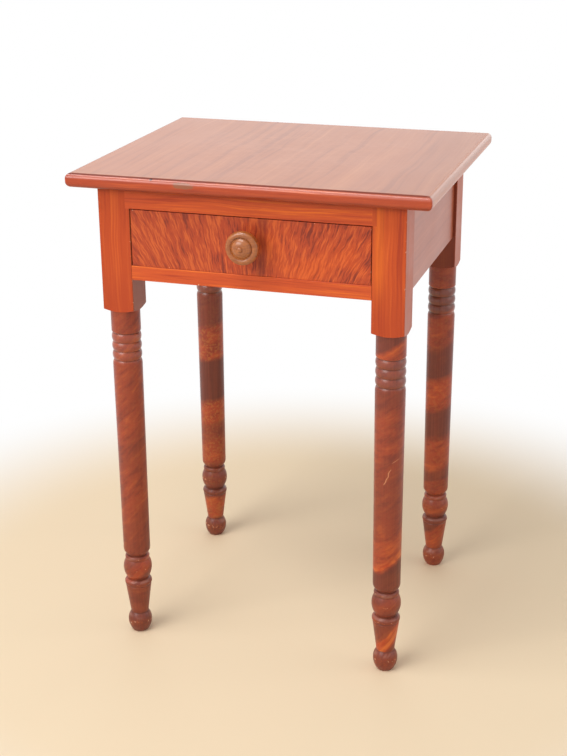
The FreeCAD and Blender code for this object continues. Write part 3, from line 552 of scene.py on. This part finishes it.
# %% [markdown]
# Two thin pale scratches cross the front of one leg. They could be cut into the mesh, but they are only
# as deep as the paint, so they are drawn in the material: a path that goes sideways as it climbs, with
# a small wriggle from noise, and nothing of it on the far side of the leg.

# %% Scratches
SCRATCH_WIDE, SCRATCH_CORE, SCRATCH_END, WRIGGLE = 0.0011, 0.0003, 0.003, 0.006


def scratch(bench, local, start, end):
    """A scratch on the front of a leg, from one (way to the right, height) to another."""
    x, y, z = bench.axes(local)
    slope = (end[0] - start[0]) / (end[1] - start[1])
    path = bench.scaled(bench.less(z, start[1]), slope, start[0])
    wriggle = bench.sway(bench.point(0.0, 0.0, z), scale=160.0)
    path = bench.scaled(wriggle, WRIGGLE, path)
    drawn = bench.fade(bench.away(to_right(bench, x, y), path), SCRATCH_WIDE, SCRATCH_CORE)
    begun = bench.fade(z, start[1], start[1] + SCRATCH_END)
    ended = bench.fade(z, end[1], end[1] - SCRATCH_END)
    on_front = bench.fade(y, 0.0, -0.004)
    return bench.times(drawn, begun, ended, on_front)


print("scratched legs:", [name for name, leg in LEGS.items() if "scratches" in leg])

# %% [markdown]
# A rag leaves soft patches, and its folds leave finer ones. On orange bands these run from brown to
# orange with specks of ochre, the brightest bands look like flames, and dark bands show only faint
# combing. One noise would make all of this look alike, so patches, folds, specks and combing have
# their own. The darkened grooves and the pale film of dust and painted sheen come last.

# %% Dabs on the turned length
DAB_BROWN = tint(150, 60, 38)
DAB_RUST = tint(178, 74, 41)
DAB_ORANGE = tint(204, 95, 45)
FLAME_RED = tint(180, 70, 35)
FLAME_PALE = tint(212, 110, 50)
BAND_DARK = tint(100, 50, 40)
BAND_COMBED = tint(116, 58, 45)
OCHRE = tint(190, 114, 56)
SCRATCHED = tint(222, 150, 108)
GROOVE_BLACK = tint(52, 26, 22)
DUST_AND_SHEEN = tint(178, 138, 124)
DAB_STRETCH, SCRATCH_SHARE, GROOVE_DARKENING_SHARE, DUST_AND_SHEEN_SHARE = 2.4, 0.7, 0.35, 0.35


def orange_dabs(bench, dabs, shifted, tone, specks):
    """The colour of an orange band."""
    orange = bench.blend(bench.fade(dabs, 0.35, 0.52), DAB_BROWN, DAB_RUST)
    orange = bench.blend(bench.fade(dabs, 0.52, 0.69), orange, DAB_ORANGE)
    speck = bench.fade(bench.noise(shifted, scale=210.0, detail=3.0, roughness=0.65), 0.46, 0.62)
    orange = bench.blend(bench.times(speck, specks), orange, OCHRE)
    flame = bench.blend(bench.fade(dabs, 0.38, 0.62), FLAME_RED, FLAME_PALE)
    return bench.blend(bench.fade(tone, 0.86, 0.98), orange, flame)


def turned_paint(bench, local, leg):
    """The turned length's paint, and its dabs for the relief."""
    x, y, z = bench.axes(local)
    shifted = bench.placed(local, location=(leg["seed"], 0, 0))
    slanted = slanted_height(bench, local, leg)
    tone = band_tone(bench, slanted, shifted, leg["bands"])
    dab_place = bench.point(bench.calc("ADD", x, leg["seed"]), y, bench.times(slanted, DAB_STRETCH))
    broad = bench.noise(dab_place, scale=34.0, detail=1.5, distortion=0.6)
    fine = bench.noise(dab_place, scale=110.0, roughness=0.6, distortion=0.4)
    dabs = bench.between(broad, fine, share=0.3)
    combs = bench.noise(bench.placed(shifted, scale=(420.0, 420.0, 9.0)), scale=1.0)
    dark = bench.blend(bench.fade(combs, 0.35, 0.65), BAND_DARK, BAND_COMBED)
    paint = bench.blend(tone, dark, orange_dabs(bench, dabs, shifted, tone, leg["specks"]))
    for start, end in leg.get("scratches", ()):
        drawn = bench.times(scratch(bench, local, start, end), SCRATCH_SHARE)
        paint = bench.blend(drawn, paint, SCRATCHED)
    groove_darkening = bench.times(groove_darkness(bench, z), GROOVE_DARKENING_SHARE)
    paint = bench.blend(groove_darkening, paint, GROOVE_BLACK)
    # a pale film on what faces up: dust, and a painted sheen
    film = bench.times(near_heights(bench, z, FACING_UP), bench.fade(dabs, 0.40, 0.60), DUST_AND_SHEEN_SHARE)
    return bench.blend(film, paint, DUST_AND_SHEEN), dabs


print("specks on each leg:", [leg["specks"] for leg in LEGS.values()])

# %% [markdown]
# The square post is combed. Faces that look at the inside of the frame were only wiped with umber, and
# the outer side faces have the duller glaze of the aprons. On inner faces that look sideways the umber is
# painted paler, a painted light for the light that reaches them. A face of the post is where the distance
# from its axis reaches half its width, so no mesh faces need to be picked out.

# %% The square post
FACE_SKIN = 0.001


def post_paint(bench, local, leg, middle, half):
    """The post's paint, and its combing for the relief."""
    x, y, z = bench.axes(local)
    comb = post_colours(bench, local, leg["seed"])
    paint = comb["Color"]
    if "bright_stroke" in leg:
        stroke = bench.fade(bench.away(x, leg["bright_stroke"]), 0.009, 0.002)
        varied = bench.scaled(comb["Streak"], 1.4, 0.1)
        above_foot = bench.fade(z, POST_FOOT + 0.015, POST_FOOT + 0.095)
        paint = bench.blend(bench.times(stroke, varied, above_foot), paint, BRIGHT)
    # a darker glaze over the whole post, painted shade against the stronger light on it
    if "darkening_wash" in leg:
        paint = bench.blend(leg["darkening_wash"], paint, GLAZE)
    # painted shade where the top's overhang casts its shadow
    paint = bench.blend(painted_shade_under_top(bench, z), paint, UNDER_TOP_SHADE)
    towards_foot = bench.fade(z, POST_FOOT + 0.095, POST_FOOT + 0.010, most=0.5)
    paint = bench.blend(towards_foot, paint, GLAZE)
    # inner faces get umber; on the sideways ones it is painted paler as painted light
    for value, outward, darkening_wash in ((x, middle.x, UMBER_PAINTED_LIGHTER), (y, middle.y, UMBER)):
        inwards = bench.times(value, -math.copysign(1, outward))
        inner_face = bench.fade(inwards, half - FACE_SKIN, half, most=0.75)
        paint = bench.blend(inner_face, paint, darkening_wash)
    outwards = bench.times(x, math.copysign(1, middle.x))
    outer_face = bench.fade(outwards, half - FACE_SKIN, half, most=0.7)
    paint = bench.blend(outer_face, paint, APRON_GROUND)
    return paint, comb["Height"]


print("post starts at height", POST_FOOT)

# %% [markdown]
# Post and turned length now go together, parted by height. One material for all four legs would repeat
# bands and flakes, so each leg has its own, with noise moved along by its seed. The rings keep thicker
# varnish, which gives them their shine, and kicked feet have more chips.

# %% Paint the legs
for name, leg in LEGS.items():
    material, bench, shader, here = new_finish("paint_" + name)
    low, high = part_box(name)
    middle = (low + high) / 2
    half = (high.x - low.x) / 2
    local = bench.placed(here, location=(-middle.x, -middle.y, 0))
    z = bench.axes(local)[2]
    square, comb = post_paint(bench, local, leg, middle, half)
    turned, dabs = turned_paint(bench, local, leg)
    on_post = bench.fade(z, POST_FOOT - 0.0008, POST_FOOT)
    edge = near_edge(bench, local, (-half, -half, POST_FOOT), (half, half, high.z), 0.004)
    edge = bench.calc("MAXIMUM", bench.times(edge, on_post), near_heights(bench, z, CRESTS))
    kicked = bench.fade(z, FOOT_BALL_TOP + 0.002, FOOT_BALL_TOP - 0.002, most=0.35)
    edge = bench.scaled(edge, kicked, edge)
    relief = bench.between(dabs, comb, share=0.6)
    own_flakes = bench.placed(local, location=(leg["seed"], 0, 0), scale=(1, 1, 1.8))
    paint = bench.blend(on_post, turned, square)
    varnished(bench, shader, own_flakes, paint, relief, 0.40, edge, chips=0.6, specular=0.25)
    coat = bench.scaled(on_post, -0.15, 0.22)
    bench.plug(shader["Coat Weight"], bench.scaled(ringed(bench, z), 0.50, coat))
    shader["Coat Roughness"].default_value = 0.28
    dress(material, name)

# %% [markdown]
# ## The rails over and under the drawer
#
# They are combed from side to side. The upper rail is let into the posts: on the left its lines run
# over the joint, on the right the post's own lines were pulled across it. A second material on the
# rail's end would need a cut in the mesh, so the rail borrows the post's field with the post's centre
# instead. Behind the front edge the wood is bare.

# %% Paint the rails
post_low, post_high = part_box("leg_front_right")
post_middle = (post_low + post_high) / 2
for name, seed in (("upper_front_rail", 5.0), ("lower_front_rail", 17.0)):
    material, bench, shader, here = new_finish("paint_" + name)
    low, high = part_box(name)
    x, y, z = bench.axes(here)
    rail = rail_colours(bench, here, seed)
    local = bench.placed(here, location=(-post_middle.x, -post_middle.y, 0))
    post = post_colours(bench, local, LEGS["leg_front_right"]["seed"])
    lapped = bench.fade(x, post_low.x - 0.0004, post_low.x + 0.0004)
    paint = bench.blend(lapped, rail["Color"], post["Color"])
    # painted shade where the top's overhang casts its shadow
    paint = bench.blend(painted_shade_under_top(bench, z), paint, UNDER_TOP_SHADE)
    wavering = bench.noise(here, scale=60.0, detail=3.0)
    paint_end = bench.scaled(wavering, 0.012, post_low.y + 0.004)
    bare = bench.fade(bench.less(y, paint_end), 0.0, 0.004)
    paint = bench.blend(bare, paint, old_wood(bench, here, seed))
    edge = near_edge(bench, here, low, high, 0.003)
    varnished(bench, shader, here, paint, bench.times(rail["Height"], 0.6), 0.42, edge, chips=0.4)
    dress(material, name)

# %% [markdown]
# ## The aprons
#
# The side and back boards are combed lengthwise in a browner glaze, and their varnish stayed glossier.
# Their inner faces were never painted, so a soft step across the board's thickness changes paint into
# bare wood.

# %% Paint the aprons
for name, runs_back, seed in (
    ("side_apron_left", True, 41.0), ("side_apron_right", True, 53.0), ("back_apron", False, 67.0),
):
    material, bench, shader, here = new_finish("paint_" + name)
    low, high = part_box(name)
    middle = (low + high) / 2
    x, y, z = bench.axes(here)
    lengthwise = bench.point(y, z, x) if runs_back else bench.point(x, z, y)
    comb = bench.use("combed_graining", {
        "Vector": lengthwise, "Dark": APRON_GLAZE, "Mid": APRON_GROUND, "Pale": APRON_BRIGHT,
        "Width": 0.008, "Length": 0.25, "Waver": 0.006, "Seed": seed,
    })
    if runs_back:
        inwards = bench.less(abs(middle.x), bench.calc("ABSOLUTE", x))
    else:
        inwards = bench.less(middle.y, y)
    bare = bench.fade(inwards, 0.004, 0.006)
    paint = bench.blend(bare, comb["Color"], old_wood(bench, lengthwise, seed))
    relief = bench.times(comb["Height"], 0.5)
    edge = near_edge(bench, here, low, high, 0.003)
    varnished(bench, shader, here, paint, relief, 0.33, edge, chips=0.4, clouds=0.08, specular=0.5)
    dress(material, name)

# %% [markdown]
# ## The top
#
# The upper face is a quieter red-brown with wide soft strokes from front to back and a mottled middle.
# The rounded edge is combed along its length like the rails, and underneath the board is bare. The
# solid is one mesh without separate slots, but height alone tells the three apart.

# %% The upper face
material, bench, shader, here = new_finish("paint_table_top")
low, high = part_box("table_top")
middle = (low + high) / 2
half = (high - low) / 2
x, y, z = bench.axes(here)
face = bench.use("combed_graining", {
    "Vector": bench.point(y, x, z), "Dark": tint(160, 88, 54), "Mid": tint(177, 102, 62),
    "Pale": tint(188, 114, 71), "Width": 0.016, "Length": 0.6, "Waver": 0.008, "Seed": 71.0,
})
cells = bench.placed(here, scale=(38.0, 60.0, 1.0))
mottle = bench.noise(cells, scale=1.0, detail=4.0, roughness=0.65, distortion=1.2)
central = bench.fade(bench.squares(x, y), 0.050, 0.002)
patch = bench.times(bench.fade(mottle, 0.40, 0.70, most=0.25), central)
upper = bench.blend(patch, face["Color"], tint(198, 126, 86))
right_shade = bench.fade(x, 0.15, 0.22, most=0.3)
upper = bench.blend(right_shade, upper, tint(140, 76, 48))
print("upper face from", round(low.x, 3), "to", round(high.x, 3), "metres across")

# %% [markdown]
# The edge is rounded above and below. A dark line is painted where the rounding meets the face, a painted
# dark reflection; the lower rounding is darkened as painted shade, and the right end is painted paler as
# a painted sheen.

# %% The rounded edge
rim = bench.use("combed_graining", {
    "Vector": bench.point(bench.calc("ADD", x, y), z, 0.0), "Dark": tint(142, 50, 26),
    "Mid": tint(178, 70, 34), "Pale": tint(206, 94, 44), "Width": 0.005, "Length": 0.14, "Waver": 0.003,
    "Seed": 83.0,
})
# painted dark reflection along the top of the rounding
painted_dark_reflection = bench.fade(z, high.z - 0.0020, high.z - 0.0010, most=0.85)
edge_paint = bench.blend(painted_dark_reflection, rim["Color"], tint(112, 44, 30))
# painted shade on the lower rounding, which faces down
lower = bench.fade(z, low.z + 0.0055, low.z + 0.0025, most=0.4)
edge_paint = bench.blend(lower, edge_paint, tint(122, 44, 24))
# the right end is painted paler, a painted sheen for the light it catches
right_end = bench.fade(x, high.x - 0.0085, high.x - 0.0065, most=0.75)
painted_sheen_right = bench.times(right_end, bench.fade(y, low.y + 0.001, low.y + 0.012))
edge_paint = bench.blend(painted_sheen_right, edge_paint, tint(206, 134, 96))
on_face = bench.fade(z, high.z - 0.00012, high.z - 0.00003)
paint = bench.blend(on_face, edge_paint, upper)
print("edge height in millimetres:", round((high.z - low.z) * 1000, 1))

# %% [markdown]
# The front edge has two old scars: a long pale one where the paint is rubbed through and a small dark
# dent. Each is an oval in the plane of the edge, and noise makes its outline ragged.

# %% The scars
def scar(bench, here, front, place, size):
    """A ragged oval on the front edge, given by its middle and half sizes in X and Z."""
    x, y, z = bench.axes(here)
    wide = bench.calc("DIVIDE", bench.less(x, place[0]), size[0])
    tall = bench.calc("DIVIDE", bench.less(z, place[1]), size[1])
    outline = bench.noise(here, scale=240.0, detail=3.0)
    away = bench.scaled(outline, 1.4, bench.squares(wide, tall))
    return bench.times(bench.fade(away, 1.7, 1.2), bench.fade(y, front + 0.006, front + 0.004))


rubbed = scar(bench, here, low.y, place=(-0.082, 0.7132), size=(0.017, 0.0048))
paint = bench.blend(bench.times(rubbed, 0.7), paint, tint(140, 98, 72))
dent = scar(bench, here, low.y, place=(-0.1282, 0.7183), size=(0.0024, 0.0014))
paint = bench.blend(dent, paint, tint(60, 26, 20))
print("two scars on the front edge")

# %% [markdown]
# Paint strayed a little way in under the board before it stops. The varnish is dull on the face and
# shines on the rounded edge, where it stayed thick, so the shine is a coat with a weight by height.

# %% The underside and the shine
in_x = bench.less(half.x, bench.calc("ABSOLUTE", x))
in_y = bench.less(half.y, bench.away(y, middle.y))
strayed = bench.scaled(bench.noise(here, scale=26.0, detail=3.0), 0.03, 0.006)
inside = bench.less(bench.calc("MINIMUM", in_x, in_y), strayed)
under = bench.times(bench.fade(inside, 0.0, 0.004), bench.fade(z, low.z + 0.002, low.z + 0.0005))
paint = bench.blend(under, paint, old_wood(bench, bench.point(y, x, z), 7.0))
edge = near_edge(bench, here, low, high, 0.006)
relief = bench.times(face["Height"], 0.5)
varnished(bench, shader, here, paint, relief, 0.34, edge, chips=0.4, clouds=0.05, specular=0.2)
off_face = bench.fade(z, high.z - 0.0008, high.z - 0.0016)
upper_curve = bench.fade(z, high.z - 0.0090, high.z - 0.0050)
thick = bench.calc("MAXIMUM", bench.times(off_face, upper_curve), bench.times(off_face, 0.4))
bench.plug(shader["Coat Weight"], bench.scaled(thick, 0.88, 0.12))
shader["Coat Roughness"].default_value = 0.25
dress(material, "table_top")

# %% [markdown]
# ## The drawer front
#
# Here the painter imitated the figure of a branch crotch: many short flame-like strokes that lean
# towards the bottom of the middle. Straight combing turned by one angle can't do that, since the lean
# changes from left to right. The strokes follow lines from one point below the drawer, so the
# coordinate across them is the sideways distance seen from that point, and the one along them is the
# distance to it. Short, contrasty strokes in that space make the fan.

# %% The fan of strokes
FAN_DEPTH, CURL = 0.30, 0.008
material, bench, shader, here = new_finish("paint_drawer_front")
low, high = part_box("drawer_front")
middle = (low + high) / 2
x, y, z = bench.axes(here)
rise = bench.less(z, middle.z - FAN_DEPTH)
across = bench.times(bench.calc("DIVIDE", x, rise), FAN_DEPTH)
outwards = bench.calc("SQRT", bench.squares(x, rise))
across = bench.scaled(bench.sway(here, scale=44.0), CURL, across)
fan = bench.point(outwards, across, y)
flame_cells = bench.placed(fan, scale=(38.0, 260.0, 40.0))
flames = bench.noise(flame_cells, scale=1.0, detail=2.5, distortion=0.4)
fleck_cells = bench.placed(fan, scale=(80.0, 520.0, 90.0))
flecks = bench.noise(fleck_cells, scale=1.0, distortion=0.4)
cloudy = bench.noise(here, scale=15.0)
stroke = bench.between(flames, flecks, share=0.35)
stroke = bench.scaled(bench.less(cloudy, 0.48), 0.34, stroke)
print("fan starts", FAN_DEPTH, "metres below the middle of the drawer front")

# %% [markdown]
# Over the strokes come three glazes: warmer orange on the right, a little more brown on the left, and
# one dark streak beside the knob, the heart of the figure.

# %% Paint the drawer front
HEART_PLACE = 0.019
paint = bench.blend(bench.fade(stroke, 0.36, 0.48), tint(134, 52, 35), tint(184, 73, 40))
paint = bench.blend(bench.fade(stroke, 0.49, 0.64), paint, tint(216, 102, 50))
warm_right = bench.times(bench.fade(x, -0.02, 0.08, most=0.3), bench.fade(cloudy, 0.38, 0.62))
paint = bench.blend(warm_right, paint, tint(224, 92, 26))
brown_left = bench.fade(x, 0.02, -0.10, most=0.16)
paint = bench.blend(brown_left, paint, tint(146, 60, 38))
heart = bench.fade(bench.away(across, HEART_PLACE), 0.010, 0.002, most=0.5)
paint = bench.blend(heart, paint, tint(128, 50, 36))
behind = bench.fade(y, low.y + 0.010, low.y + 0.014)
paint = bench.blend(behind, paint, old_wood(bench, here, 13.0))
edge = near_edge(bench, here, low, high, 0.003)
varnished(bench, shader, here, paint, bench.times(stroke, 0.8), 0.40, edge, chips=0.7)
dress(material, "drawer_front")

# %% [markdown]
# ## The knob
#
# The knob was turned from brown hardwood and only varnished. Its axis points at whoever opens the
# drawer, so the lathe's marks are rings. A ring-shaped wave texture would be too regular for them, so
# they are noise that is read from the distance to the axis.

# %% The knob's wood
material, bench, shader, here = new_finish("varnished_knob")
low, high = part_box("drawer_knob")
middle = (low + high) / 2
local = bench.placed(here, location=(-middle.x, -low.y, -middle.z))
x, y, z = bench.axes(local)
radius = bench.calc("SQRT", bench.squares(x, z))
grain_cells = bench.placed(local, scale=(90.0, 14.0, 300.0))
grain = bench.noise(grain_cells, scale=1.0, detail=3.0, roughness=0.6)
lathe = bench.noise(bench.point(bench.times(radius, 600.0), bench.times(y, 400.0), 0.0), scale=1.0)
tone = bench.between(grain, lathe, share=0.3)
colour = bench.blend(bench.fade(tone, 0.3, 0.7), tint(146, 78, 32), tint(184, 107, 47))
print("knob width in millimetres:", round((high.x - low.x) * 1000, 1))

# %% [markdown]
# A deep groove runs round the dome and a fine line round the nub in its middle. Both are darkened a
# little, and the lower left of the groove is painted paler, a painted light there. Radius and depth find
# them, so nothing is picked by hand on the mesh.

# %% Grooves, painted light and varnish of the knob
GROOVE_RADIUS, GROOVE_DEPTH = 0.0146, 0.0105
NUB_RADIUS, NUB_DEPTH = 0.0042, 0.004
groove = bench.fade(bench.away(radius, GROOVE_RADIUS), 0.0012, 0.0004)
groove = bench.times(groove, bench.fade(y, GROOVE_DEPTH, GROOVE_DEPTH - 0.001))
nub_line = bench.fade(bench.away(radius, NUB_RADIUS), 0.0012, 0.0002)
nub_line = bench.times(nub_line, bench.fade(y, NUB_DEPTH, NUB_DEPTH - 0.001))
groove_darkening = bench.times(bench.calc("MAXIMUM", groove, nub_line), 0.05)
colour = bench.blend(groove_darkening, colour, tint(92, 46, 24))
# painted light: the lower left of the groove is made paler
painted_light_lower_left = bench.fade(bench.calc("ADD", x, z), 0.008, -0.012, most=0.6)
colour = bench.blend(bench.times(groove, painted_light_lower_left), colour, tint(226, 150, 88))
coat = bench.use("old_varnish", {"Vector": local, "Dullness": 0.36, "Clouds": 0.22})
bench.plug(shader["Base Color"], colour)
bench.plug(shader["Roughness"], coat["Roughness"])
bench.plug(shader["Normal"], bench.bump(bench.scaled(lathe, 0.6, grain), 0.00006))
shader["Coat Weight"].default_value = 0.45
shader["Coat Roughness"].default_value = 0.16
dress(material, "drawer_knob")

# %% [markdown]
# ## Bare wood inside, and iron
#
# Boards of the drawer and the strips it runs on are unpainted. Their grain follows their length: front
# to back for sides and strips, side to side for the back and the bottom. Turning the coordinates does
# that, so two materials serve all of them.

# %% Bare boards
BOARDS = {
    "wood_front_to_back": ("YXZ", 19.0, [
        "drawer_side_left", "drawer_side_right", "drawer_runner_left", "drawer_runner_right",
        "drawer_guide_left", "drawer_guide_right", "drawer_kicker_left", "drawer_kicker_right"]),
    "wood_side_to_side": ("XYZ", 31.0, ["drawer_back", "drawer_bottom", "drawer_stops"]),
}
for name, (order, seed, pieces) in BOARDS.items():
    material, bench, shader, here = new_finish(name)
    axis = dict(zip("XYZ", bench.axes(here)))
    wood = bench.use("bare_board", {
        "Vector": bench.point(*(axis[letter] for letter in order)),
        "Dark": tint(158, 114, 70), "Pale": tint(196, 152, 102), "Seed": seed,
    })
    bench.plug(shader["Base Color"], wood["Color"])
    bench.plug(shader["Roughness"], wood["Roughness"])
    bench.plug(shader["Normal"], bench.bump(wood["Height"], 0.00015))
    dress(material, *pieces)

# %% [markdown]
# Nails and screws are dark iron with rust in patches. Brown paint on metal would still mirror the room,
# and rust doesn't, so the patches also lower Metallic and raise the roughness.

# %% Iron
material, bench, shader, here = new_finish("rusty_iron")
rust = bench.noise(here, scale=320.0, detail=4.0, roughness=0.65)
patch = bench.fade(rust, 0.45, 0.6)
bench.plug(shader["Base Color"], bench.blend(patch, tint(62, 58, 56), tint(98, 56, 36)))
bench.plug(shader["Roughness"], bench.scaled(patch, 0.3, 0.45))
bench.plug(shader["Metallic"], bench.less(0.85, bench.times(patch, 0.7)))
bench.plug(shader["Normal"], bench.bump(rust, 0.0002))
dress(material, "cut_nails", "top_screws", "drawer_bottom_nails")

# %% [markdown]
# ## Floor, light and camera
#
# The stand is on a plain pale floor, one large flat square.

# %% The floor
FLOOR_REACH = 9.0
floor_mesh = bpy.data.meshes.new("floor")
shape = bmesh.new()
bmesh.ops.create_grid(shape, x_segments=1, y_segments=1, size=FLOOR_REACH)
shape.to_mesh(floor_mesh)
shape.free()
floor = bpy.data.objects.new("floor", floor_mesh)
bpy.context.scene.collection.objects.link(floor)
print("floor laid, faces:", len(floor_mesh.polygons))

# %% [markdown]
# Away from the stand the floor fades to white, as a paper sweep does. A curved backdrop would hide the
# stand from behind, so the fade is in the floor's material: rays that come straight from the camera, or
# by way of a reflection, see a white glow further out, while the light from the floor stays as it is.

# %% The floor's finish
WHITE_FROM, WHITE_TO = 0.50, 0.95


def seen_directly(bench):
    """1 for rays from the camera and for those that mirrors and glass send on."""
    ray = bench.node("ShaderNodeLightPath").outputs
    seen = bench.calc("MAXIMUM", ray["Is Camera Ray"], ray["Is Glossy Ray"])
    return bench.calc("MAXIMUM", seen, ray["Is Transmission Ray"])


material, bench, shader, here = new_finish("pale_floor")
shader["Base Color"].default_value = tint(244, 222, 188)
shader["Roughness"].default_value = 0.7
x, y = bench.axes(here)[:2]
from_stand = bench.calc("SQRT", bench.squares(x, y))
further_out = bench.fade(from_stand, WHITE_FROM, WHITE_TO)
sweep = bench.node("ShaderNodeEmission", {"Strength": 1.0})
mixed = bench.node("ShaderNodeMixShader")
bench.plug(mixed.inputs[0], bench.times(further_out, seen_directly(bench)))
bench.plug(mixed.inputs[1], material.node_tree.nodes["Principled BSDF"].outputs[0])
bench.plug(mixed.inputs[2], sweep.outputs[0])
bench.plug(material.node_tree.nodes["Material Output"].inputs["Surface"], mixed.outputs[0])
floor.data.materials.append(material)
print("floor is white from", WHITE_TO, "metres outwards")

# %% [markdown]
# Light comes from a bright room: an even world, a large soft lamp in front, a pale wall at the right, a
# panel overhead that draws bright lines on everything rounded, and a window behind, whose reflection
# gives the top its sheen. One strong lamp would be simpler, but its small reflection would make old
# varnish look like wet paint.

# %% The light
AMBIENT = 0.45
world = bpy.data.worlds.new("bright_room")
world.use_nodes = True
bpy.context.scene.world = world
bench = Bench(world.node_tree)
background = world.node_tree.nodes["Background"].inputs
background["Color"].default_value = (1, 1, 1, 1)
bench.plug(background["Strength"], bench.scaled(seen_directly(bench), 1 - AMBIENT, AMBIENT))


def soft_lamp(name, place, target, width, height, watts):
    """A large rectangular lamp that the camera itself doesn't see."""
    lamp = bpy.data.lights.new(name, "AREA")
    lamp.shape = "RECTANGLE"
    lamp.size = width
    lamp.size_y = height
    lamp.energy = watts
    holder = bpy.data.objects.new(name, lamp)
    holder.location = place
    holder.rotation_euler = (Vector(target) - Vector(place)).to_track_quat("-Z", "Y").to_euler()
    holder.visible_camera = False
    bpy.context.scene.collection.objects.link(holder)
    print(name, "hung,", watts, "watts")


soft_lamp("front_softbox", (-2.4, -3.8, 2.8), (0, 0, 0.45), width=3.0, height=2.0, watts=102)
soft_lamp("back_window", (-0.6, 2.8, 1.4), (0, 0, 0.6), width=3.4, height=1.8, watts=14)
soft_lamp("ceiling_panel", (-0.6, -1.0, 2.6), (0, -0.2, 0.7), width=1.8, height=0.4, watts=24)
soft_lamp("right_wall", (2.6, 0.2, 1.2), (0, 0, 0.5), width=1.8, height=1.8, watts=10)

# %% [markdown]
# The camera has the photograph's viewing angle. Its place, its turn and its focal length in pixels come
# from a fit to the corners of the stand. A lens is given in millimetres of a 36 mm sensor, which stands
# for the longer side of the picture, here its height.

# %% The camera
YAW, PITCH, ROLL = (math.radians(angle) for angle in (17.74, -20.76, -0.48))
FOCAL_PIXELS, FRAME_HEIGHT = 1443.69, 756
CAMERA_PLACE = (0.61458, -1.95593, 1.15151)
forward = Vector((-math.sin(YAW) * math.cos(PITCH), math.cos(YAW) * math.cos(PITCH), math.sin(PITCH)))
right = Matrix.Rotation(-ROLL, 3, forward) @ Vector((math.cos(YAW), math.sin(YAW), 0))
up = right.cross(forward)
camera_data = bpy.data.cameras.new("camera")
camera_data.sensor_width = 36
camera_data.lens = FOCAL_PIXELS / FRAME_HEIGHT * camera_data.sensor_width
camera = bpy.data.objects.new("camera", camera_data)
camera_turn = Matrix((right, up, -forward)).transposed().to_4x4()
camera.matrix_world = Matrix.Translation(CAMERA_PLACE) @ camera_turn
bpy.context.scene.collection.objects.link(camera)
bpy.context.scene.camera = camera
bpy.context.scene.view_settings.view_transform = "Standard"
print("camera lens in millimetres:", round(camera_data.lens, 2))
